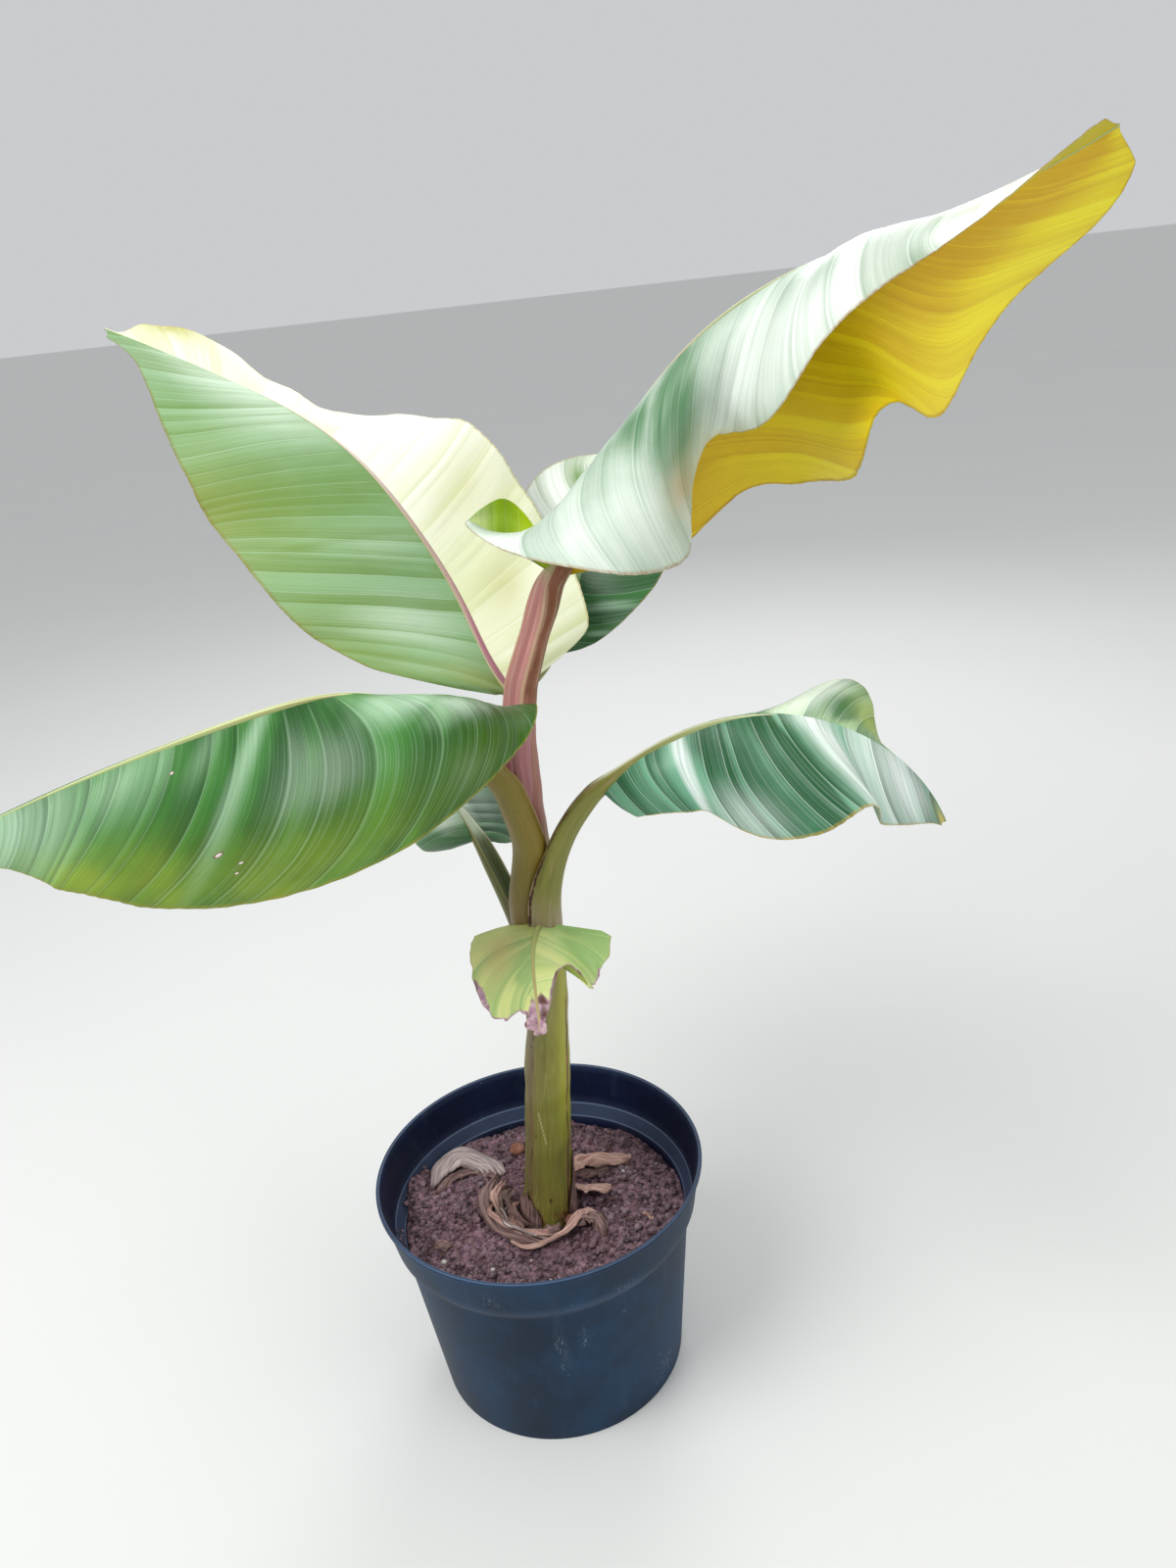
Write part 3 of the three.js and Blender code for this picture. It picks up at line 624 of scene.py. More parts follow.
def limb_paint(name, colours):
    """Stalk and midrib: streaked skin, a channel and rims of their own, paler along the blade."""
    outside, channel, rims, low_top, high_top, root = colours
    paint = Paint(name)
    streak = paint.noise((230, 230, 6), 4.0, mark="limb")
    fine = paint.noise((900, 900, 14), 2.0, mark="limb")
    blotch, blade = paint.noise(30.0, 5.0), paint.mark("blade")
    paint.colour = paint.mix(streak.step(0.28, 0.72), paint.mix(0.4, outside, "#3c2a14"), outside)
    paint.coat(paint.mix(0.5, outside, channel), blotch.step(0.4, 0.75) * 0.6)
    paint.coat(paint.mix(0.5, outside, "#5c6a20"), paint.mark("flank") * 0.45)
    paint.coat(paint.mix(0.6, low_top, "#8fa860"), blade.step(1.0, 1.7))
    top = paint.mix(blade.step(0.2, 1.0), channel, low_top)
    top = paint.mix(blade.step(1.1, 1.8), top, high_top)
    top = paint.mix(streak.step(0.35, 0.7) * 0.3, top, paint.mix(0.5, channel, outside))
    paint.coat(top, paint.mark("channel"))
    paint.coat(rims, paint.mark("rim") * 0.6)
    paint.coat(rims, paint.noise((420, 420, 3), 2.0, mark="limb").step(0.56, 0.68) * 0.3)
    base = paint.mix(streak.step(0.3, 0.7), root, paint.mix(0.4, root, "#5a3038"))
    paint.coat(paint.mix(fine.step(0.5, 0.75) * 0.4, base, "#dcb8b4"), paint.mark("root") * 0.9)
    paint.speckle("#5f3c22", 0.6, (120.0, 0.05, 0.12), (22.0, 0.56, 0.62))
    paint.coat("#4a2c1e", (paint.mark("dry") + (blotch - 0.5)).step(0.4, 0.6))
    return paint.finish(blotch * 0.2 + 0.36, streak * 0.6 + fine * 0.5, 0.0005)


def stem_paint():
    """Rolled leaf bases: olive and yellow-green streaks, brown spots, dark sheath edges."""
    paint = Paint("stem_skin")
    streak = paint.noise((190, 190, 7), 4.0, mark="limb")
    fine = paint.noise((800, 800, 18), 2.0, mark="limb")
    blotch = paint.noise(28.0, 4.0)
    paint.colour = paint.mix(streak.step(0.15, 0.85), "#66682a", "#8f8c3a")
    paint.coat("#74662c", blotch.step(0.35, 0.75) * 0.5)
    zones = {"sunny": ("#a9a832", 0.8), "shaded": ("#6e5a40", 0.75), "core": ("#a8686e", 0.85),
             "bloom_and_sheen": ("#8f7f74", 0.7)}
    for zone, (colour, share) in zones.items():
        paint.coat(colour, paint.mark(zone) * share)
    paint.coat("#bcb66c", fine.step(0.5, 0.75) * 0.22)
    chosen = (paint.noise(26.0, 2.0) + paint.mark("spotty") * 0.16).step(0.57, 0.62)
    paint.coat("#46220f", paint.dots(85.0, 0.1, 0.2, "limb", (1, 1, 0.6)) * chosen * 0.9)
    scar = (paint.mark("dry") + (blotch - 0.5) * 1.2).step(0.4, 0.6)
    paint.coat(paint.mix(fine.step(0.4, 0.6), "#3c1f14", "#8a5a40"), scar)
    paint.coat("#d6cf9c", paint.mark("scratch"))
    return paint.finish(blotch * 0.22 + 0.34, streak * 0.7 + fine * 0.4, 0.0006)


def pot_paint():
    """Dark navy moulded plastic with a satin sheen, dusty scuffs and scratches, painted highlights along its
    rim and ledge edges, and a blue tint on its reflections for a bluish sky.
    """
    paint = Paint("pot_plastic")
    dust = paint.noise(9.0, 6.0, 0.65)
    outside = paint.mix(dust.step(0.35, 0.7), "#081528", "#15324e")
    inside = paint.mix(dust.step(0.4, 0.75), "#090b26", "#151a42")
    paint.colour = paint.mix(paint.mark("inside"), outside, inside)
    # Painted highlight: thin pale lines along the rim and the ledge edges.
    paint.coat("#7482a0", paint.mark("edge_highlight") * dust.band(0.0, 0.55))
    paint.coat("#4c5c6a", paint.noise((55, 55, 9)).step(0.55, 0.8) * 0.22)
    scuff = paint.noise((60, 60, 26), 6.0, 0.8).step(0.66, 0.72) * dust.step(0.45, 0.6)
    paint.coat("#8d98a0", scuff * 0.55)
    lines = paint.noise((160, 160, 420), 2.0).step(0.73, 0.76) * dust.step(0.5, 0.62)
    paint.coat("#a9b0b4", lines * 0.5)
    rubbed = paint.noise((700, 700, 160), 4.0, 0.7).step(0.5, 0.66) * paint.mark("scuffed")
    paint.coat("#9aa9b8", rubbed * 0.6)
    height = paint.noise(700.0, 2.0) * 0.4 + scuff * 0.5
    # Painted reflection: the blue specular tint stands in for a bluish sky mirrored in the plastic.
    return paint.finish(dust * 0.25 + 0.42, height, 0.00015, 0.4, (0.45, 0.7, 1.0))


def soil_paint(name, dark, light, warm):
    """Crumbly compost, purplish brown with paler and redder bits, and painted shade in its hollows."""
    paint = Paint(name)
    clump, grit = paint.noise(160.0, 5.0, 0.7), paint.noise(900.0)
    paint.colour = paint.mix(clump.step(0.3, 0.7), dark, light)
    paint.coat(warm, paint.noise(22.0).step(0.45, 0.7) * 0.5)
    paint.speckle("#b8988e", 0.8, (330.0, 0.12, 0.28), (130.0, 0.58, 0.64))
    # Painted shade in the hollows between the crumbs.
    paint.coat("#120c0c", paint.mark("hollow_shade") * 0.8)
    return paint.finish(grit * 0.2 + 0.78, clump + grit * 0.6, 0.0012, 0.3)


def papery_paint(name, dark, light, grey):
    """Dried sheath: papery, streaked along its fibres."""
    paint = Paint(name)
    fibre = paint.noise((700, 45, 0), 4.0, mark="veins")
    blotch = paint.noise(90.0, 4.0)
    paint.colour = paint.mix(fibre.step(0.3, 0.7), dark, light)
    paint.coat(grey, blotch.step(0.4, 0.7) * 0.6)
    paint.coat("#e0c6b0", fibre.step(0.62, 0.8) * 0.5)
    paint.coat("#3c241c", paint.mark("dry") * 0.7)
    return paint.finish(blotch * 0.25 + 0.6, fibre, 0.0009, 0.35)


def add_piece(name, points, faces, paints, slot, nodes=(), marks=None, sharp=50, painted=None):
    """A mesh piece that rides on the body, with its materials and the values kept on its points."""
    mesh = bpy.data.meshes.new(name)
    mesh.from_pydata(np.asarray(points).tolist(), [], faces)
    for paint in paints:
        mesh.materials.append(paint)
    if painted is not None:
        mesh.polygons.foreach_set("material_index", painted)
    for mark, values in (marks or {}).items():
        kind, key = ("FLOAT_VECTOR", "vector") if values.ndim == 2 else ("FLOAT", "value")
        made = mesh.attributes.new(mark, kind, "POINT")
        made.data.foreach_set(key, values.astype(np.float32).ravel())
    mesh.shade_smooth()
    mesh.set_sharp_from_angle(angle=math.radians(sharp))
    mesh.update()
    piece = bpy.data.objects.new(name, mesh)
    bpy.context.scene.collection.objects.link(piece)
    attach(piece, "root")
    if nodes:
        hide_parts(*nodes)


def grid_quads(rows, columns, first=0, wrap=False, flip=False):
    """Quads between the rows of a grid of points; wrap joins the last column to the first."""
    i = np.arange(rows - 1)[:, None]
    j = np.arange(columns if wrap else columns - 1)[None, :]
    after = (j + 1) % columns
    a, b = i * columns + j, (i + 1) * columns + j
    c, d = (i + 1) * columns + after, i * columns + after
    order = (a, d, c, b) if flip else (a, b, c, d)
    return (np.stack(np.broadcast_arrays(*order), -1).reshape(-1, 4) + first).tolist()


def tube_faces(rings, sides, flip=False):
    """Faces of a closed tube, with a centre point for each end after the rings' points."""
    faces = grid_quads(rings, sides, wrap=True, flip=flip)
    low, high, last = rings * sides, rings * sides + 1, (rings - 1) * sides
    for j in range(sides):
        k = (j + 1) % sides
        ends = [(low, j, k), (high, last + k, last + j)]
        faces.extend([face[::-1] for face in ends] if flip else ends)
    return faces


def add_tube(name, ring, ends, paint, slot, nodes=(), marks=None, flip=False, sharp=50):
    """A closed tube through rings of points, with a point in the middle of each end."""
    kept = {}
    for mark, values in (marks or {}).items():
        flat = values.reshape(-1, 3) if values.ndim == 3 else np.broadcast_to(values, ring.shape[:2]).ravel()
        kept[mark] = np.concatenate([flat, flat[:1], flat[-1:]])
    faces = tube_faces(*ring.shape[:2], flip)
    add_piece(name, np.vstack([ring.reshape(-1, 3), ends]), faces, [paint], slot, nodes, kept, sharp)


def sheet_faces(rows, columns, flip=False):
    """Faces of a closed thin sheet: upper grid, then lower grid, then the edge strip."""
    below = rows * columns
    faces = grid_quads(rows, columns, flip=flip) + grid_quads(rows, columns, below, flip=not flip)
    ring = [(i, 0) for i in range(rows)] + [(rows - 1, j) for j in range(1, columns)]
    ring += [(i, columns - 1) for i in range(rows - 2, -1, -1)] + [(0, j) for j in range(columns - 2, 0, -1)]
    ring = [i * columns + j for i, j in ring]
    edge = [(b, a, below + a, below + b) for a, b in zip(ring, ring[1:] + ring[:1])]
    return faces, [quad[::-1] for quad in edge] if flip else edge


def add_sheet(name, upper, lower, paints, slot, place, values, nodes=(), flip=False, sharp=50):
    """A closed thin sheet between two grids of points: first paint above, last paint below."""
    grid = np.zeros(upper.shape[:2])
    faces, edge = sheet_faces(*grid.shape, flip)
    half = len(faces) // 2
    painted = [0] * half + [len(paints) - 1] * half + [0] * len(edge)
    marks = {mark: np.tile((value + grid).ravel(), 2) for mark, value in values.items()}
    marks["veins"] = np.tile(np.stack([part + grid for part in place], -1).reshape(-1, 3), (2, 1))
    points = np.vstack([upper.reshape(-1, 3), lower.reshape(-1, 3)])
    add_piece(name, points, faces + edge, paints, slot, nodes, marks, sharp, painted)


def smooth(stations, values, x):
    """Cubic curve through values given at rising stations, with weighted mean slopes."""
    stations, values = np.asarray(stations, float), np.asarray(values, float)
    steps = np.diff(stations)
    rates = np.diff(values) / steps
    slopes = np.concatenate([rates[:1], np.zeros(len(values) - 2), rates[-1:]])
    slopes[1:-1] = (rates[:-1] * steps[1:] + rates[1:] * steps[:-1]) / (steps[:-1] + steps[1:])
    i = np.clip(np.searchsorted(stations, x, side="right") - 1, 0, len(steps) - 1)
    return hermite((x - stations[i]) / steps[i], values[i], steps[i] * slopes[i],
                   values[i + 1], steps[i] * slopes[i + 1])


def hermite(t, start, leaving, end, arriving):
    """Cubic from start to end with the given slopes there, at shares t of the way."""
    first = (2 * t**3 - 3 * t**2 + 1) * start + (t**3 - 2 * t**2 + t) * leaving
    return first + (3 * t**2 - 2 * t**3) * end + (t**3 - t**2) * arriving


def ramp(x, low, high):
    """Smooth step from 0 at low to 1 at high."""
    t = np.clip((x - low) / (high - low), 0, 1)
    return t * t * (3 - 2 * t)


def span(s, begin, full, still, gone):
    """Share from 0 at begin to 1 at full, 1 until still and 0 at gone, all in millimetres."""
    return ramp(s, begin * MM, full * MM) * (1 - ramp(s, still * MM, gone * MM))


def bell(x, width):
    """1 where x is 0, falling off smoothly on both sides."""
    return np.exp(-(x / width) ** 2)


def turned_from(angle, middle):
    """How far angles lie from another one, in radians between minus and plus pi."""
    return (angle - middle + math.pi) % (2 * math.pi) - math.pi


def unit(vectors):
    return vectors / np.maximum(np.linalg.norm(vectors, axis=-1, keepdims=True), 1e-12)


def round_about(radius, angle, *height):
    """Points on circles about the z axis, flat or at a height."""
    return np.stack(np.broadcast_arrays(radius * np.cos(angle), radius * np.sin(angle), *height), -1)


def tube_rings(middle, side, out, width, sides, squash=1.0):
    """Rings of points round a path, spread along two directions across it."""
    turn = np.linspace(0, 2 * math.pi, sides, endpoint=False)[None, :, None]
    cross = np.cos(turn) * side[:, None, :] + squash * np.sin(turn) * out[:, None, :]
    return middle[:, None, :] + width[:, None, None] * cross


def ripples(x, y, size, seed, count=7):
    """Smooth random values, about -1 to 1, that change over the given size."""
    random = np.random.default_rng(seed)
    total = np.zeros(np.broadcast(x, y).shape)
    for _ in range(count):
        angle, phase = random.uniform(0, 2 * math.pi, 2)
        pace = 2 * math.pi / (size * random.uniform(0.6, 1.8))
        total = total + np.sin(pace * (x * math.cos(angle) + y * math.sin(angle)) + phase)
    return total / math.sqrt(count) / 1.4


def stem_at(height):
    """Centre and radius of the stem at heights."""
    known = np.clip(np.asarray(height, float) / MM, STEM_HEIGHTS[0], STEM_HEIGHTS[-1])
    rows = (STEM_EAST, STEM_NORTH, STEM_RADII)
    east, north, radius = (smooth(STEM_HEIGHTS, row, known) * MM for row in rows)
    return np.stack(np.broadcast_arrays(east, north, height), -1), radius


class Rib:
    """Curve of a leaf's stalk and midrib, with its frame at any distance from the foot."""

    STEPS = 1600

    def __init__(self, leaf):
        self.stalk, self.blade = leaf["stalk"] * MM, leaf["blade"] * MM
        self.radii = [radius * MM for radius in leaf["radii"]]
        self.length = self.stalk + self.blade
        third = self.blade / 3
        self.knots = (0, self.stalk, self.stalk + third, self.stalk + 2 * third, self.length)
        self.heading, self.rise = leaf["heading"], leaf["rise"]
        self.places = np.linspace(0, self.length, self.STEPS + 1)
        middles = (self.places[1:] + self.places[:-1]) / 2
        steps = self.forward(middles) * (self.length / self.STEPS)
        self.points = np.array(leaf["foot"]) * MM + np.vstack([np.zeros(3), np.cumsum(steps, 0)])

    def angles(self, s):
        return (np.radians(smooth(self.knots, angles, s)) for angles in (self.heading, self.rise))

    def forward(self, s):
        turn, climb = self.angles(s)
        return round_about(np.cos(climb), turn, np.sin(climb))

    def frame(self, s):
        """Point, direction ahead, and directions to the left and upwards across it."""
        point = np.stack([np.interp(s, self.places, self.points[:, k]) for k in range(3)], -1)
        turn, _ = self.angles(s)
        forward = self.forward(s)
        side = np.stack([-np.sin(turn), np.cos(turn), np.zeros_like(turn)], -1)
        return point, forward, side, np.cross(forward, side)

    def radius(self, s):
        foot, neck, tip = self.radii
        share = np.clip((s - self.stalk) / self.blade, 0, 1)
        along_stalk = foot + (neck - foot) * s / self.stalk
        return np.where(s < self.stalk, along_stalk, tip + (neck - tip) * (1 - share) ** 1.2)


def make_limb(name, leaf, rib):
    """Stalk and midrib in one piece: it grows out of the stem, channelled above and round below."""
    root = ROOTS[name]
    back = np.arange(root, 0, -LIMB_STEP)
    along = np.linspace(0, rib.length, int(rib.length / LIMB_STEP))
    point, forward, side, _ = rib.frame(along)
    # Below its foot the limb runs down into the stem on a smooth curve
    foot, pull = point[0], root * 0.9
    outwards = foot - stem_at(foot[2])[0]
    end = stem_at(foot[2] - root)[0] + outwards * (0.2, 0.2, 0)
    down = np.array([0, 0, -1.0])
    run = hermite((back / root)[:, None], foot, -pull * forward[0], end, pull * down)
    centres = np.vstack([run, point])
    s = np.concatenate([-back, along])
    for shift, *reaches in BULGES.get(name, ()):
        centres = centres + span(s, *reaches)[:, None] * np.array(shift) * MM
    ahead = unit(np.gradient(centres, axis=0))
    ups = unit(np.cross(ahead, np.vstack([np.repeat(side[:1], len(back), 0), side])))
    sides = unit(np.cross(ups, ahead))

    def past(before, after):
        """Share from 0 to 1 across the neck, between distances before and after it."""
        return ramp(s, rib.stalk - before, rib.stalk + after)

    radius = rib.radius(np.maximum(s, 0)) * (1 - ROOT_TAPER * ramp(-s, 0, root))
    for swell, *reaches in SWELLS.get(name, ()):
        radius = radius * (1 + swell * span(s, *reaches))
    on_blade = past(0.02, 0.01)[:, None]
    angle = np.linspace(0, 2 * math.pi, LIMB_SIDES, endpoint=False)
    from_top = turned_from(angle, math.pi / 2)
    on_stalk, less = CHANNEL_DEPTHS[0], CHANNEL_DEPTHS[0] - CHANNEL_DEPTHS[1]
    depth = (on_stalk - less * on_blade) * (1 - ramp(s, rib.length * 0.9, rib.length))[:, None]
    lip = bell(np.abs(from_top) - LIP_PLACE, 0.30)
    reach = radius[:, None] * (1 - depth * bell(from_top, CHANNEL_WIDTH) + LIP_HEIGHT * lip)
    reach = reach * (1 + FLUTE_HEIGHT * np.sin(FLUTES * angle) * (1 - on_blade))
    share_left, sink = MIDRIB_SHARE.get(name, 0.52), MIDRIB_SINK.get(name, 0.6)
    reach = reach * (1 - (1 - share_left) * past(0.03, 0.05)[:, None])
    offset = (-sink * share_left * past(0.01, 0.02) * radius)[:, None]
    twist = np.radians(TWISTS.get(name, 0)) * (1 - ramp(s, rib.stalk * 0.7, rib.stalk + 0.03))
    turned = angle + twist[:, None]
    ring = centres[:, None, :] + (reach * np.cos(turned))[..., None] * sides[:, None, :]
    ring = ring + (reach * np.sin(turned) + offset)[..., None] * ups[:, None, :]
    if name == "lower_right":
        lips = [np.argmin(np.abs(from_top - turn * CHANNEL_WIDTH * 1.6)) for turn in (-1, 1)]
        nearer = min(lips, key=lambda j: ring[len(back), j, 1])
        make_seam(ring[(s > -0.004) & (s < 0.1), nearer])
    marks = {
        "blade": (past(0.02, 0.02) + np.clip((s - rib.stalk) / rib.blade, 0, 1))[:, None],
        "channel": ramp(CHANNEL_WIDTH * 1.7 - np.abs(from_top), 0, 0.5)[None, :],
        "rim": bell(np.abs(from_top) - LIP_PLACE, 0.09) * (1 - 0.5 * on_blade),
        "root": ramp(-s, -0.03, 0.02)[:, None],
        "flank": ramp(np.abs(from_top), 1.2, 2.4)[None, :],
        "dry": bell(s + root * 0.25, 0.03)[:, None] * lip * (name in ("lower_left", "lower_right")),
        "limb": round_about(reach, angle, s[:, None]),
    }
    add_tube(f"limb_{name}", ring, centres[[0, -1]], limb_paint(f"{name}_limb", LIMBS[name]), "stalk",
             (f"stalk_{name}", f"midrib_{name}"), marks)


def make_bands(place, spacing, random):
    """Pleats along a blade: for each point its band's number and share, the share, and its size."""
    edges = [place.min() - spacing * random.uniform(0.1, 0.6)]
    while edges[-1] < place.max():
        edges.append(edges[-1] + spacing * random.choice(BAND_WIDTHS) * random.uniform(0.85, 1.15))
    phase = np.interp(place, edges, np.arange(len(edges)))
    sizes = random.uniform(0.5, 1.2, len(edges))
    band = np.floor(phase).astype(int)
    return phase, phase - band, sizes[band]


def make_lobe(name, first, height, seed):
    """Corner of the blade's base, rolled up behind it like a scoop, from the blade's first side vein."""
    u = np.linspace(0, 1, first.shape[1])[None, :]
    w = np.linspace(0, 1, LOBE_ROWS)[:, None]
    tall = height * np.sin(math.pi * u) * (1 + 0.04 * ripples(u, 0, 0.4, seed, 3))
    belly = 0.25 * height * np.sin(math.pi * w) * np.sin(math.pi * u)
    belly = belly + 0.0006 * ripples(u * LOBE_LENGTH, w * 0.004, 0.02, seed + 1)
    sheet = first + (tall * w)[..., None] * unit(np.array(LOBE_UP)) + belly[..., None] * (0, 1.0, 0)
    skin = np.array([0, LOBE_HALF_THICK, 0])
    # tint paints the glow of light shining through its right part; it is also darker towards its foot and
    # paler towards its left end.
    values = {"deep": 0.35 * ramp(w, 0.6, 0.0), "pale": ramp(u, 0.62, 0.9), "tint": 0.7 * ramp(u, 0.55, 0.3),
              "dry": 0.0, "across": w * 0.97}
    paints = [blade_paint(f"{name}_front", LOBE_FRONT, *LOBE_SKINS[0], seed, 0.4),
              blade_paint(f"{name}_back", LOBE_BACK, *LOBE_SKINS[1], seed, 0.4)]
    place = (w * height, u * LOBE_LENGTH, u * 7)
    add_sheet(name, sheet - skin, sheet + skin, paints, "leaf_pale", place, values)


def make_blade(name, leaf, rib, side_name, sign, seed):
    """Half blade: a thin closed sheet, pleated along its veins, with a waving margin."""
    half, look = leaf[side_name], LOOKS[name, side_name]
    stations = half.get("stations", STATIONS)
    start = np.linspace(0, 1, int(rib.blade / BLADE_STEP) + 1)[:, None]
    across = np.linspace(0, 1, BLADE_COLUMNS)[None, :]
    reach = smooth(stations, half["vein"], start) * MM
    bow = look["bow"] * reach / rib.blade * ramp(start, 0, 0.15) * ramp(1 - start, 0, 0.12)
    t = np.clip(start - bow * across * (1 - across), 0, 1)
    vein = smooth(stations, half["vein"], t) * MM
    vein = vein * np.sqrt(np.clip(1 - (1 - np.clip(t / look.get("round", 0.035), 0, 1)) ** 2, 0.02, 1))
    vein = vein * np.clip((1 - t) / 0.05, 0.01, 1) ** 0.6
    tears = (ripples(t * rib.blade, 0, size, seed + n, 6) for n, size in enumerate(TEAR_SIZES, 3))
    vein = vein * (1 + look.get("torn", 0.0025) * sum(tears))
    sweep, droop, curl = (np.radians(smooth(stations, half[k], t)) for k in ("sweep", "droop", "curl"))
    curl = np.where(np.abs(curl) < 1e-4, 1e-4, curl)
    out = (np.sin(droop + curl * across) - np.sin(droop)) / curl
    down = (np.cos(droop) - np.cos(droop + curl * across)) / curl
    point, forward, side, up = rib.frame(rib.stalk + t * rib.blade)
    wide = vein * np.cos(sweep)
    middle = point + (sign * wide * out)[..., None] * side - (wide * down)[..., None] * up
    middle = middle + (vein * np.sin(sweep) * across)[..., None] * forward
    if "lobe" in look:
        make_lobe(f"leaf_{name}_lobe", middle[2:3], look["lobe"] * MM, seed + 5)

    def normals(surface):
        cross = np.cross(np.gradient(surface, axis=0), np.gradient(surface, axis=1)) * sign
        size = np.linalg.norm(cross, axis=-1, keepdims=True)
        return np.where(size > 1e-12, cross / np.maximum(size, 1e-12), up)

    values = {kind: np.zeros(t.shape) for kind in ("deep", "pale", "tint", "dry")}
    for kind, place, over, reach_along, reach_across, strength in look["patches"]:
        patch = strength * bell(t - place, reach_along) * bell(across - over, reach_across)
        values[kind] = np.maximum(values[kind], patch)
    spacing, pleat = look["pleats"]
    height, wavelength = look["wave"]
    s = start * rib.blade
    along = s - look.get("slant", 0) * vein * across
    phase, share, size = make_bands(along, spacing, np.random.default_rng(seed))
    narrow = np.clip(vein / SHORT_VEIN, 0, 1)
    fold = pleat * (4 * share * (1 - share) - 0.66) * size * ramp(across, 0.02, 0.2) * (1 - 0.35 * across)
    wave = height * ripples(s, 0, wavelength, seed + 1, 4) * across**2.2
    uneven = UNEVEN_HEIGHT * ripples(s, across * reach, UNEVEN_SIZE, seed + 2) * ramp(across, 0, 0.4)
    crumple = look.get("crumple", 0) * MM * values["dry"] ** 2 * ramp(across, 0, 0.3)
    lift = (fold + wave + uneven) * narrow + crumple * ripples(s, across * reach, CRUMPLE_SIZE, seed + 6, 9)
    middle = middle + lift[..., None] * normals(middle)
    skin = normals(middle) * (BLADE_THICK / 2 * (1 + 1.6 * (1 - across) ** 3))[..., None]
    values["across"] = across
    spots = []
    for place_t, place_u, radius in look.get("spots", ()):
        spot_vein = float(smooth(stations, half["vein"], np.array(place_t))) * MM
        spots.append((spot_vein * place_u, place_t * rib.blade, radius * MM))
    style = (seed, look.get("contrast", 1.0), look.get("creases", CREASES))
    upper, lower = PALETTES[name, side_name]
    paints = [blade_paint(f"{name}_{side_name}_upper", upper, *UPPER_SKIN, *style, spots),
              blade_paint(f"{name}_{side_name}_lower", lower, *LOWER_SKIN, *style)]
    slot = LEAF_SLOTS.get(name, ("leaf_dark", "leaf_dark"))[side_name == "right"]
    add_sheet(f"leaf_{name}_{side_name}", middle + skin, middle - skin, paints, slot,
              (vein * across, along, phase), values, (f"blade_{name}_{side_name}",), sign < 0)


def make_leaves():
    for n, (name, leaf) in enumerate(LEAVES.items()):
        rib = Rib(leaf)
        make_limb(name, leaf, rib)
        make_blade(name, leaf, rib, "left", 1, SEED + 20 * n)
        make_blade(name, leaf, rib, "right", -1, SEED + 20 * n + 10)


def make_stem():
    """Stem of rolled leaf bases: each sheath's edge stands a little proud and has dried dark."""
    heights = np.arange(SOIL_LEVEL - STEM_BURIED, STEM_HEIGHTS[-1] * MM, STEM_STEP)
    tall = heights[:, None]
    angle = np.linspace(0, 2 * math.pi, STEM_SIDES, endpoint=False)[None, :]
    centre, radius = stem_at(heights)
    reach = radius[:, None] * np.ones_like(angle)
    dry = np.zeros(reach.shape)
    for low, high, start, end, step in SHEATHS:
        share = np.clip((heights - low) / (high - low), 0, 1)
        wander = 3 * ripples(heights, 0, 0.05, int(start), 3)
        edge = np.radians(start + (end - start) * share + wander)[:, None]
        within = ramp(tall, low - 0.001, low + 0.004) * (1 - ramp(tall, high - 0.02, high))
        past = (angle - edge) % (2 * math.pi)
        reach = reach + step * within * np.exp(-past / 0.9) * ramp(past, 0, 0.05) - 0.3 * step * within
        near = np.minimum(past, 2 * math.pi - past)
        dry = np.maximum(dry, within * bell(near - 0.02, 0.04) * 0.9)
    reach = reach + STEM_GRAIN * ripples(angle * 0.02, tall * 0.05, 0.004, 5)
    reach = reach + STEM_UNEVEN * ripples(angle * 0.02, tall, 0.03, 6)

    def facing(degrees, width):
        return bell(turned_from(angle, math.radians(degrees)), math.radians(width))

    base = 1 - ramp(tall, 0.150, 0.185)
    along = (tall - SCRATCH_HEIGHT) / SCRATCH_REACH
    scratch = bell(angle - math.radians(SCRATCH_ANGLE) + 0.166 * along, 0.016) * (np.abs(along) < 1)
    marks = {
        "sunny": facing(315, 28) * ramp(tall, 0.2, 0.3),
        "shaded": facing(212, 24),
        "core": ramp(tall, 0.47, 0.53),
        "bloom_and_sheen": facing(262, 26) * ramp(tall, 0.33, 0.40) * (1 - ramp(tall, 0.43, 0.47)),
        "dry": np.maximum(dry, base * (0.45 + 0.35 * facing(340, 50) + 0.3 * facing(215, 30))),
        "scratch": scratch * 0.9,
        "spotty": facing(250, 15) * ramp(tall, 0.16, 0.2),
        "limb": round_about(reach, angle, tall),
    }
    ring = centre[:, None, :] + round_about(reach, angle, 0)
    add_tube("stem", ring, centre[[0, -1]], stem_paint(), "stem", ("trunk",), marks, flip=True)


def rounded(corners, radius):
    """Outline through corners with each inner corner rounded by an arc-like curve."""
    corners = [np.array(corner) for corner in corners]
    outline = [corners[0]]
    for before, corner, after in zip(corners, corners[1:], corners[2:]):
        cut = min(radius, np.linalg.norm(before - corner) / 2.2, np.linalg.norm(after - corner) / 2.2)
        enter, leave = corner + unit(before - corner) * cut, corner + unit(after - corner) * cut
        for t in np.linspace(0, 1, 5):
            outline.append((1 - t) ** 2 * enter + 2 * t * (1 - t) * corner + t**2 * leave)
    outline.append(corners[-1])
    dense = [outline[0]]
    for place in outline[1:]:
        first = dense[-1]
        count = max(1, int(np.linalg.norm(place - first) / POT_STEP))
        dense.extend(first + (place - first) * (k + 1) / count for k in range(count))
    return np.array(dense)


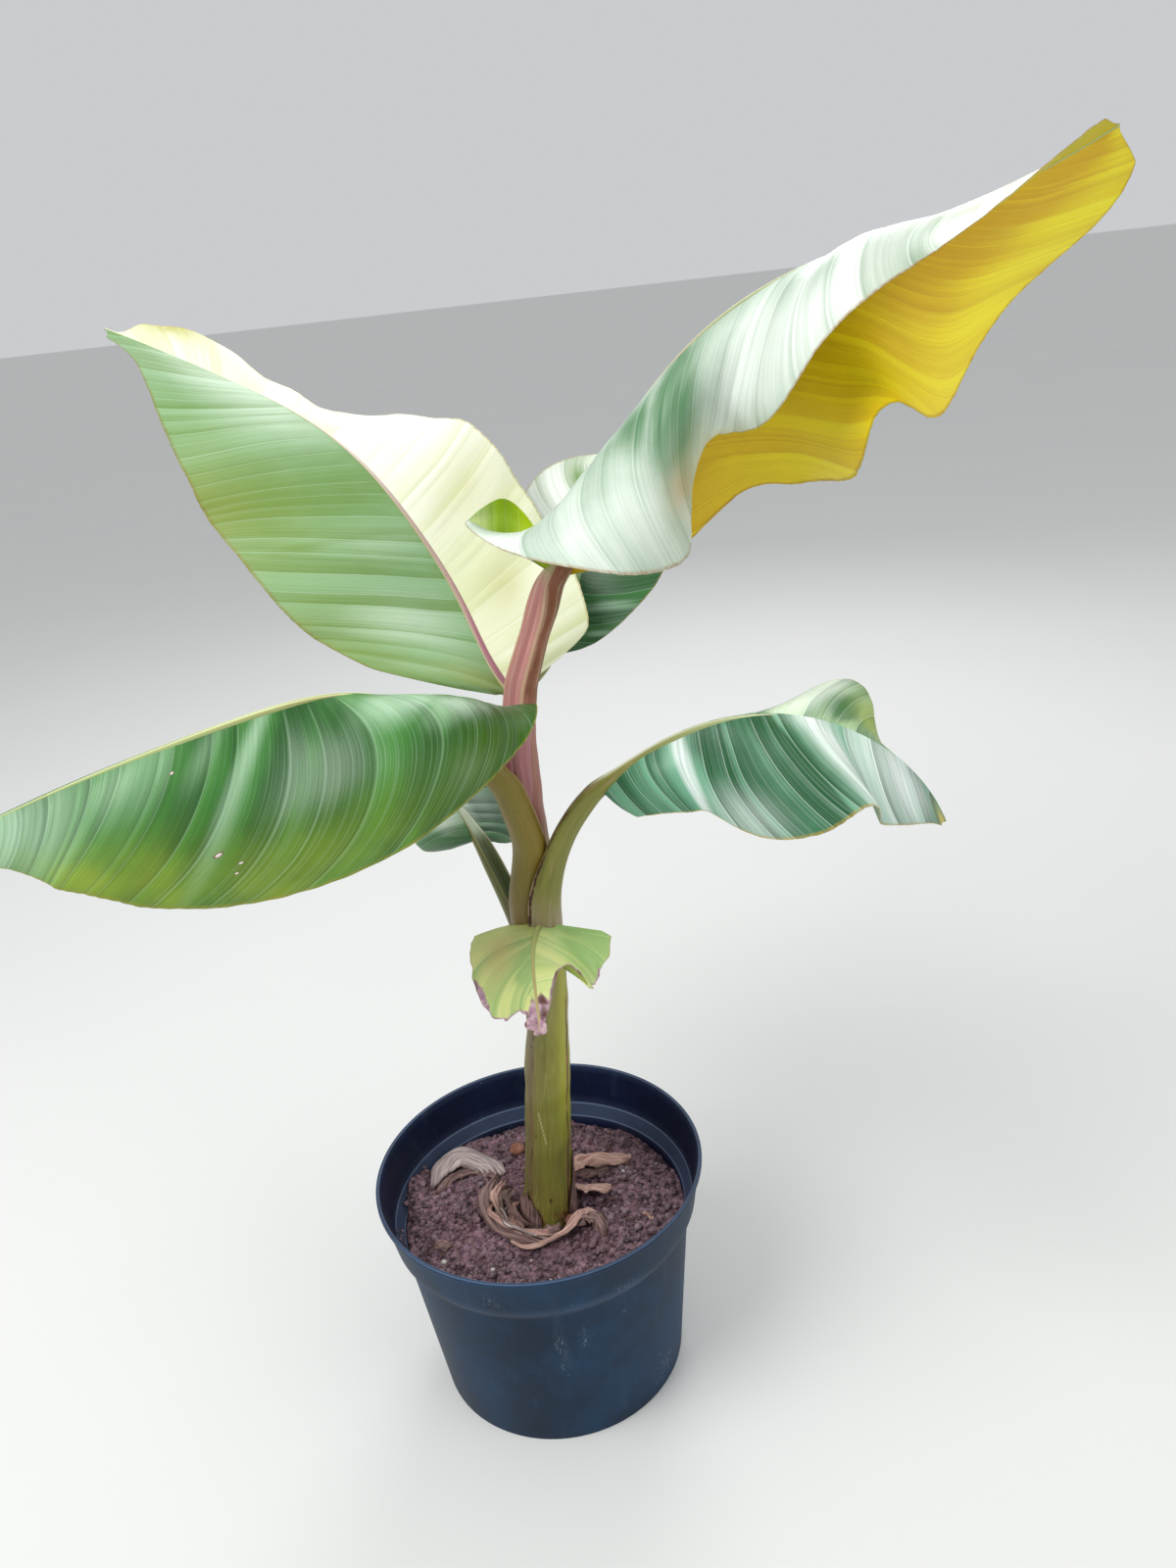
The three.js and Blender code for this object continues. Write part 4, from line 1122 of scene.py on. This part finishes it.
def make_pot():
    """Nursery pot: tapered wall, sloping shoulder, collar and rolled lip, with a recessed foot."""
    lip, wall = POT_HEIGHT - POT_LIP_DEPTH, POT_WALL
    (shoulder, shoulder_height), (collar, collar_height) = POT_SHOULDER, POT_COLLAR
    outline = rounded([
        (POT_HUB, POT_FOOT_RECESS), (POT_BASE - POT_FOOT_RING[0], POT_FOOT_RECESS),
        (POT_BASE - POT_FOOT_RING[1], 0.0), (POT_BASE, 0.0),
        (shoulder, shoulder_height), (collar, collar_height),
        (POT_RIM - POT_LIP_WIDTH, lip), (POT_RIM, lip + 0.001), (POT_RIM, POT_HEIGHT),
        (POT_RIM - POT_LIP_WIDTH, POT_HEIGHT), (POT_RIM - POT_LIP_WIDTH - wall, lip),
        (collar - wall, collar_height + wall), (shoulder - wall, shoulder_height + wall),
        (POT_BASE - wall, POT_FOOT_RECESS + wall), (POT_HUB, POT_FOOT_RECESS + wall),
    ], POT_EDGE)
    turn = np.linspace(0, 2 * math.pi, POT_SEGMENTS, endpoint=False)
    width, height = outline[:, :1], outline[:, 1:]
    sag = 1 + 0.0012 * np.sin(2 * turn + 0.7) + 0.0008 * np.sin(3 * turn)
    radius = width * np.where(width > 0.12, np.minimum(sag, 1.0), 1.0)
    rows = np.arange(len(outline))[:, None]
    inside = (rows > np.argmax(height + 1e-6 * rows)).astype(float)
    rim_edges = np.minimum(np.abs(width - POT_RIM), np.abs(width - POT_RIM + POT_LIP_WIDTH))
    edges = sum(bell(height - level - wall, 0.0008) for level in (shoulder_height, collar_height))
    # Painted highlight along the rim's two edges and the inner ledge edges, with a faint one round the
    # collar.
    edge_highlight = np.maximum(0.75 * bell(height - POT_HEIGHT, 0.0007) * bell(rim_edges, 0.0007),
                      0.9 * np.minimum(edges, 1) * inside)
    marks = {"inside": inside, "edge_highlight": np.maximum(edge_highlight, 0.15 * bell(height - collar_height, 0.002))}
    scuffed = np.zeros(radius.shape)
    for angle, level, wide, tall, strength in POT_SCUFFS:
        across = turned_from(turn, math.radians(angle)) * radius
        scuff = strength * bell(across, wide * MM) * bell(height - level * MM, tall * MM)
        scuffed = np.maximum(scuffed, scuff * (1 - inside))
    marks["scuffed"] = scuffed
    ends = [(0, 0, POT_FOOT_RECESS), (0, 0, POT_FOOT_RECESS + wall)]
    add_tube("pot_shell", round_about(radius, turn, height), ends, pot_paint(), "pot_plastic", ("pot",),
             marks, flip=True, sharp=60)


def soil_base(x, y):
    """Height of the soil before its crumbs: flat under the stem, heaped on the left."""
    radius, angle = np.hypot(x, y), np.arctan2(y, x)
    outer = ramp(radius, SOIL_SEAT, 2 * SOIL_SEAT)
    heap = SOIL_HEAP * np.maximum(0, -np.cos(angle)) * outer
    lumps = SOIL_LUMPS * np.sin(3 * angle + radius / 0.017) * np.cos(5 * angle - radius / 0.023) * outer
    return SOIL_LEVEL + heap + lumps


def crumble(x, y):
    """Clods and crumbs on the soil, in metres."""
    relief = 0.0024 * noise.fractal(Vector((x * 45, y * 45, 1.7)), 0.9, 2.1, 3)
    for tall, size, layer in CRUMBLES:
        far = noise.voronoi(Vector((x * size, y * size, layer)), distance_metric="DISTANCE")[0]
        relief += tall * (far[1] - far[0] - 0.25)
    return relief + 0.0005 * noise.noise(Vector((x * 800, y * 800, 2.2)))


def make_soil():
    """Compost that fills the pot to under its ledge, and spills on to the ledge on the left."""
    outer = POT_BASE + (POT_SHOULDER[0] - POT_BASE) * 0.97 - POT_WALL - 0.0003
    turn = np.linspace(0, 2 * math.pi, SOIL_SEGMENTS, endpoint=False)
    spill = bell(turn - math.radians(SOIL_SPILL_ANGLE), 0.16)
    share = np.linspace(0.02, 1, SOIL_RINGS)[:, None]
    radius = share * (outer + 0.0055 * spill)
    x, y = radius * np.cos(turn), radius * np.sin(turn)
    relief = np.array([crumble(a, b) for a, b in zip(x.ravel(), y.ravel())]).reshape(x.shape)
    near_stem = ramp(np.hypot(x - 0.003, y), 0.024, 0.034)
    height = soil_base(x, y) + relief + 0.0035 * near_stem - 0.001
    height = height + 0.0085 * spill * ramp(share, 0.86, 0.97)
    height = height - 0.002 * ramp(share, 0.93, 1.0) * (1 - spill)
    top = np.stack([x, y, height], -1)
    skirt = top[-1:] * (0.93, 0.93, 0) + (0, 0, SOIL_LEVEL - SOIL_DEPTH)
    # Painted shade: the soil is darkened where its relief sinks.
    hollow_shade = np.vstack([np.clip(-relief / 0.002 - 0.25, 0, 1), np.zeros((1, SOIL_SEGMENTS))])
    ends = [(0, 0, SOIL_LEVEL - 0.001), (0, 0, SOIL_LEVEL - SOIL_DEPTH)]
    paint = soil_paint("soil_crumbs", "#150d12", "#ac8694", "#5e4252")
    add_tube("soil_top", np.vstack([top, skirt]), ends, paint, "soil", ("soil",), {"hollow_shade": hollow_shade},
             flip=True, sharp=180)


def soil_top(x, y):
    return float(soil_base(x, y)) + crumble(x, y) + 0.0025


def lump_shape(steps):
    """Points and faces of a small rounded lump of unit size."""
    made = bmesh.new()
    bmesh.ops.create_icosphere(made, subdivisions=steps, radius=1.0)
    points = np.array([v.co[:] for v in made.verts])
    faces = [[v.index for v in f.verts] for f in made.faces]
    made.free()
    return points, faces


def join(parts, faces):
    """Points and faces of many copies of one mesh, each with its own points."""
    size = len(parts[0])
    return np.vstack(parts), [[k + n * size for k in face] for n in range(len(parts)) for face in faces]


def scatter(name, spots, sizes, paint, slot, seed, flat=0.75, rough=0.35, lift=0.0, steps=2):
    """One piece of many small lumps, each turned and dented at random, resting on the soil."""
    base, base_faces = lump_shape(steps)
    random = np.random.default_rng(seed)
    lumps = []
    for (x, y), size in zip(spots, sizes):
        turn = Matrix.Rotation(random.uniform(0, 6.28), 3, Vector(random.normal(size=3)).normalized())
        bumps = 1 + rough * np.array([noise.noise(Vector(p * 1.7 + x * 900)) for p in base])
        stretch = random.uniform(0.7, 1.2, 3)
        lump = (base * bumps[:, None] * stretch * size) @ np.array(turn) * (1, 1, flat)
        lumps.append(lump + np.array([x, y, soil_top(x, y) + size * 0.25 + lift]))
    add_piece(name, *join(lumps, base_faces), [paint], slot, sharp=70)


def random_spots(count, random, low=0.030, high=0.115):
    radius = np.sqrt(random.uniform(low**2, high**2, count))
    return round_about(radius, random.uniform(0, 2 * math.pi, count))


def spill_spots(count, random, angle, spread, low, high):
    """Spots on the pot's ledge, about an angle in degrees."""
    angles = np.radians(random.normal(angle, spread, count))
    return round_about(random.uniform(low, high, count), angles)


def make_fibres(random):
    """Thin roots that arch over the crumbs."""
    sides, steps = 4, 9
    along = np.linspace(-0.5, 0.5, steps)
    up = np.array([[0, 0, 1.0]])
    rings = []
    for x, y in random_spots(FIBRE_COUNT, random, 0.03, 0.112):
        heading, length = random.uniform(0, 6.28), random.uniform(0.006, 0.020)
        bend, thick = random.normal(0, 1.5), random.uniform(0.00022, 0.0005)
        turn = heading + bend * along
        path = np.cumsum(round_about(1, turn), 0) * length / steps
        path = path - path.mean(0) + (x, y)
        arch = 0.0008 + 0.0025 * random.uniform() * np.cos(along * math.pi)
        height = np.array([soil_top(a, b) for a, b in path]) + arch
        height = np.maximum(height, np.convolve(np.pad(height, 2, "edge"), np.ones(5) / 5, "valid"))
        middle = np.column_stack([path, height])
        width = thick * np.sqrt(np.clip(1 - (2 * along) ** 2, 0.05, 1))
        ring = tube_rings(middle, round_about(1, turn + math.pi / 2, 0), up, width, sides)
        rings.append(np.vstack([ring.reshape(-1, 3), middle[[0, -1]]]))
    paint = soil_paint("fibres", "#5f4044", "#a88480", "#8a5c56")
    add_piece("root_fibres", *join(rings, tube_faces(steps, sides)), [paint], "soil", sharp=180)


def make_litter():
    """Loose crumbs, white perlite and reddish root fibres on the soil."""
    random = np.random.default_rng(SEED + 300)
    sizes = random.uniform(0.0009, 0.0024, CRUMB_COUNT) * random.choice([1, 1, 1, 1.7], CRUMB_COUNT)
    crumb = soil_paint("loose_crumbs", "#3a2a30", "#98808a", "#7c5a5c")
    scatter("soil_crumbs", random_spots(CRUMB_COUNT, random), sizes, crumb, "soil", SEED + 301)
    sizes = random.uniform(0.0004, 0.0010, GRIT_COUNT)
    grit = soil_paint("soil_grit", "#6a5056", "#bca6a8", "#8e6c6c")
    scatter("soil_grit", random_spots(GRIT_COUNT, random), sizes, grit, "soil", SEED + 305, steps=1)
    spill = spill_spots(LEDGE_CRUMB_COUNT, random, SOIL_SPILL_ANGLE, 6, 0.116, 0.1275)
    sizes = random.uniform(0.001, 0.0026, LEDGE_CRUMB_COUNT)
    scatter("ledge_crumbs", spill, sizes, crumb, "soil", SEED + 303, lift=0.0035)
    spill = spill_spots(LEDGE_BIT_COUNT, random, SOIL_SPILL_ANGLE + 34, 5, 0.122, 0.128)
    sizes = random.uniform(0.0008, 0.0015, LEDGE_BIT_COUNT)
    scatter("ledge_bits", spill, sizes, crumb, "soil", SEED + 304, lift=0.008)
    white = soil_paint("perlite", "#b8b0aa", "#e8e4de", "#cfc6be")
    spots = np.vstack([PERLITE, random_spots(7, random)])
    sizes = np.concatenate([np.full(len(PERLITE), 0.0021), random.uniform(0.0009, 0.0015, 7)])
    scatter("perlite", spots, sizes, white, "soil", SEED + 302)
    make_fibres(random)


def make_scrap(name, path, width, paint, seed, stand=0.0, crinkle=0.0012, rows=70, columns=16):
    """A strip of dried sheath along a path of (x, y, height over the soil), curled across its width."""
    s = np.linspace(0, 1, rows)
    x, y, over = (smooth(np.linspace(0, 1, len(path)), row, s) for row in zip(*path))
    base = np.array([soil_top(a, b) for a, b in zip(x, y)])
    base = np.convolve(np.pad(base, 6, "edge"), np.ones(13) / 13, "valid")
    middle = np.stack([x, y, base + over], -1)
    ahead = unit(np.gradient(middle, axis=0))
    flat_side = unit(np.cross(ahead, np.array([0, 0, 1.0])))
    up = np.cross(flat_side, ahead)
    lean = math.radians(stand)
    side = (flat_side * math.cos(lean) + up * math.sin(lean))[:, None, :]
    out = (-flat_side * math.sin(lean) + up * math.cos(lean))[:, None, :]
    across, s = np.linspace(-1, 1, columns)[None, :], s[:, None]
    ends = np.clip((s + 0.02) / 0.3, 0, 1) ** 0.7 * np.clip((1.02 - s) / 0.2, 0, 1) ** 0.7
    ragged = 1 + 0.22 * ripples(s, 0, 0.4, seed + 1, 4) + 0.05 * ripples(s, 0, 0.06, seed + 4, 4)
    breadth = width / 2 * ends * ragged
    roll = np.random.default_rng(seed).uniform(0.5, 1.1)
    fold = crinkle * ripples(s * 0.25, across * 0.10, 0.09, seed + 2)
    fold = fold + 0.5 * crinkle * np.sin(across * 10 + 4 * ripples(s, 0, 1.2, seed + 3, 3))
    rise = fold - breadth * (1 - np.cos(across * roll)) / roll * 1.2
    aside = breadth * np.sin(across * roll) / roll
    sheet = middle[:, None, :] + aside[..., None] * side + rise[..., None] * out
    skin = unit(np.cross(np.gradient(sheet, axis=0), np.gradient(sheet, axis=1))) * SCRAP_HALF_THICK
    dry = np.maximum(bell(1 - np.abs(across), 0.08), bell(s, 0.05))
    place = (breadth * across, s * 0.08, 0)
    add_sheet(name, sheet + skin, sheet - skin, [paint], "stem", place, {"dry": dry}, sharp=60)


def make_husk(name, start, end, height, paint, seed):
    """A dried sheath left standing against the foot of the stem, between two angles in degrees."""
    turn = np.radians(np.linspace(start, end, HUSK_STEPS))[None, :]
    share = np.linspace(0, 1, HUSK_STEPS)[:, None]
    middle = np.sin(np.linspace(0, math.pi, HUSK_STEPS))[None, :]
    tall = height * (0.35 + 0.65 * middle**0.7) * (1 + 0.16 * ripples(turn * 0.03, 0, 0.012, seed))
    level = SOIL_LEVEL - 0.002 + share * tall
    centre, radius = stem_at(level)
    lift = 0.0008 + 0.0022 * share**3 * (1 - middle) + 0.0005 * ripples(turn * 0.03, level, 0.012, seed + 1)
    sheet = centre + round_about(radius + lift, turn, 0)
    skin = round_about(HUSK_HALF_THICK, turn, 0)
    from_edge = np.minimum(turn - turn[0, 0], turn[0, -1] - turn)
    dry = np.maximum(ramp(share, 0.8, 1.0), 1 - ramp(from_edge, 0, 0.2))
    add_sheet(name, sheet + skin, sheet - skin, [paint], "stem", (turn * 0.02, level, 0), {"dry": dry * 0.6},
              flip=True, sharp=60)


def make_seam(ridge):
    """Ragged dried edge along the ridge where one lower stalk's sheath overlaps the other's."""
    s = np.linspace(0, 1, 90)
    middle = np.stack([np.interp(s, np.linspace(0, 1, len(ridge)), ridge[:, k])
                       + 0.0005 * ripples(s, 0, 0.10, SEED + 540 + k, 6) for k in range(3)], -1)
    ahead = unit(np.gradient(middle, axis=0))
    side = unit(np.cross(ahead, np.array([0, -1.0, 0.0])))
    width = 0.0004 + 0.0009 * (1 - ramp(s, 0.15, 0.6))
    width = width * (1 + 0.45 * ripples(s, 0, 0.05, SEED + 544, 6)) * (1 - 0.9 * ramp(s, 0.9, 1))
    ring = tube_rings(middle, side, np.cross(side, ahead), width, 10, 0.6)
    marks = {"veins": ring[..., [0, 2, 1]] * (1, 1, 0), "dry": np.array([[0.55]])}
    paint = papery_paint("papery_dark", "#30190f", "#6a4030", "#4a2c20")
    add_tube("dried_seam", ring, middle[[0, -1]], paint, "stem", marks=marks, sharp=70)


def make_scraps():
    """Dried leaf bases left round the foot of the stem."""
    grey = papery_paint("papery_grey", "#6e5a5c", "#d8c8c4", "#a89898")
    tan = papery_paint("papery_tan", "#8a605a", "#e2bcac", "#b48e86")
    brown = papery_paint("papery_brown", "#4c3434", "#a88880", "#7c6464")
    # Each strip's path, width, paint, how far it stands up in degrees, and crinkles, in millimetres
    strips = {
        "left_strip": ([(-99, 46, 1), (-90, 66, 6), (-70, 76, 10), (-48, 64, 8), (-33, 44, 3)],
                       34, grey, 15, 1.6),
        "left_under": ([(-94, 36, 1), (-80, 55, 3), (-56, 54, 4), (-40, 40, 2)], 12, brown, 5, 1.2),
        "left_outer": ([(-38, 42, 4), (-46, 14, 7), (-42, -14, 6), (-27, -34, 4), (-4, -44, 2)],
                       18, brown, 35, 1.8),
        "left_middle": ([(-33, 32, 6), (-39, 8, 10), (-33, -16, 8), (-16, -32, 5), (8, -36, 2)],
                        18, tan, 55, 1.8),
        "left_inner": ([(-26, 22, 9), (-30, 2, 15), (-24, -16, 11), (-10, -27, 4)], 20, brown, 70, 1.6),
        "left_fold": ([(-44, 30, 2), (-52, 6, 4), (-46, -20, 3)], 12, tan, 20, 1.4),
        "front_band": ([(-36, -36, 2), (-16, -46, 4), (8, -42, 7), (24, -28, 10), (36, -20, 9), (46, -28, 5)],
                       15, tan, 35, 1.4),
        "front_curl": ([(-14, -26, 3), (-2, -32, 6), (10, -30, 8)], 14, brown, 20, 1.6),
        "front_hood": ([(18, -36, 6), (30, -30, 11), (42, -34, 8), (46, -50, 2)], 16, brown, 10, 2.0),
        "right_upper": ([(18, 20, 14), (30, 40, 12), (46, 48, 10), (64, 48, 6), (84, 44, 2)],
                        24, tan, 20, 2.2),
        "right_under": ([(26, 30, 6), (44, 36, 5), (62, 36, 2)], 14, brown, 5, 1.4),
        "right_lower": ([(22, 2, 16), (30, 6, 13), (42, 9, 9), (60, 10, 4)], 28, tan, 30, 1.2),
        "right_twig": ([(78, -26, 1), (86, -30, 2), (90, -40, 1)], 4, tan, 0, 0.6),
        "left_flake": ([(-98, -22, 1), (-90, -30, 3), (-82, -34, 1)], 10, brown, 0, 1.0),
    }
    for n, (name, (path, width, paint, stand, crinkle)) in enumerate(strips.items()):
        make_scrap(f"scrap_{name}", np.array(path) * MM, width * MM, paint, SEED + 400 + 5 * n, stand,
                   crinkle * MM)
    random = np.random.default_rng(SEED + 600)
    for n in range(SHRED_COUNT):
        reach, spread = random.uniform(0.027, 0.046), random.uniform(35, 80)
        start = random.uniform(150, 275 - spread)
        turns = np.radians(np.linspace(start, start + spread, 4))
        reaches = reach + random.normal(0, 0.003, 4)
        overs = 0.002 + random.uniform(0.001, 0.009) * np.sin(np.linspace(0.4, math.pi - 0.3, 4))
        path = round_about(reaches, turns, overs) + (STEM_EAST[0] * MM, 0, 0)
        make_scrap(f"shred_{n}", path, random.uniform(0.003, 0.008), [brown, tan, grey][n % 3],
                   SEED + 610 + 5 * n, random.uniform(0, 60), 0.0010, rows=40, columns=8)
    make_husk("husk_right", 312, 398, 0.058, brown, SEED + 520)
    make_husk("husk_left", 165, 250, 0.030, brown, SEED + 530)
    nut = soil_paint("nut_skin", "#6e463a", "#a87662", "#8c5c4e")
    scatter("brown_nubs", [(0.021, -0.026), (-0.018, 0.078)], [0.0062, 0.0065], nut, "stem", SEED + 500,
            0.95, 0.08, 0.003)


def make_floor():
    """Plain pale studio floor that runs out to the horizon."""
    mesh = bpy.data.meshes.new("floor")
    r = FLOOR_REACH
    mesh.from_pydata([(-r, -r, 0), (r, -r, 0), (r, r, 0), (-r, r, 0)], [], [(0, 1, 2, 3)])
    floor = bpy.data.objects.new("floor", mesh)
    bpy.context.scene.collection.objects.link(floor)
    paint = Paint("floor")
    paint.colour = paint.mix(paint.noise(1.5, 2.0), "#dcdddb", "#e2e2df")
    mesh.materials.append(paint.finish(0.9, paint.noise(300.0), 0.0001, 0.2))


def make_light(name, place, size, power):
    """A round soft light that faces the middle of the plant."""
    data = bpy.data.lights.new(name, "AREA")
    data.shape, data.size, data.energy = "DISK", size, power
    light = bpy.data.objects.new(name, data)
    light.location = place
    light.rotation_euler = (Vector(LIGHT_TARGET) - Vector(place)).to_track_quat("-Z", "Y").to_euler()
    bpy.context.scene.collection.objects.link(light)


def make_studio():
    make_light("key", (-1.3, -0.7, 2.3), 1.6, 42)
    make_light("fill", (1.9, -1.6, 1.5), 2.2, 17)
    make_light("back", (0.7, 2.0, 1.9), 1.4, 18)
    world = bpy.data.worlds.new("studio")
    world.use_nodes = True
    sky = world.node_tree.nodes["Background"].inputs
    sky["Color"].default_value, sky["Strength"].default_value = (0.95, 0.97, 1.0, 1.0), 0.62
    bpy.context.scene.world = world
    bpy.context.scene.view_settings.view_transform = "Standard"


def make_camera():
    yaw, pitch, roll = (math.radians(angle) for angle in (CAMERA_YAW, CAMERA_PITCH, CAMERA_ROLL))
    forward = Vector((math.sin(yaw) * math.cos(pitch), math.cos(yaw) * math.cos(pitch), -math.sin(pitch)))
    level = Vector((math.cos(yaw), -math.sin(yaw), 0))
    upright = level.cross(forward)
    right = math.cos(roll) * level + math.sin(roll) * upright
    up = math.cos(roll) * upright - math.sin(roll) * level
    data = bpy.data.cameras.new("camera")
    data.lens, data.sensor_width = CAMERA_LENS, CAMERA_SENSOR
    camera = bpy.data.objects.new("camera", data)
    turned = Matrix((right, up, -forward)).transposed().to_4x4()
    camera.matrix_world = Matrix.Translation(CAMERA_PLACE) @ turned
    bpy.context.scene.collection.objects.link(camera)
    bpy.context.scene.camera = camera


make_camera()
make_floor()
make_studio()
make_pot()
make_soil()
make_litter()
make_scraps()
make_stem()
make_leaves()
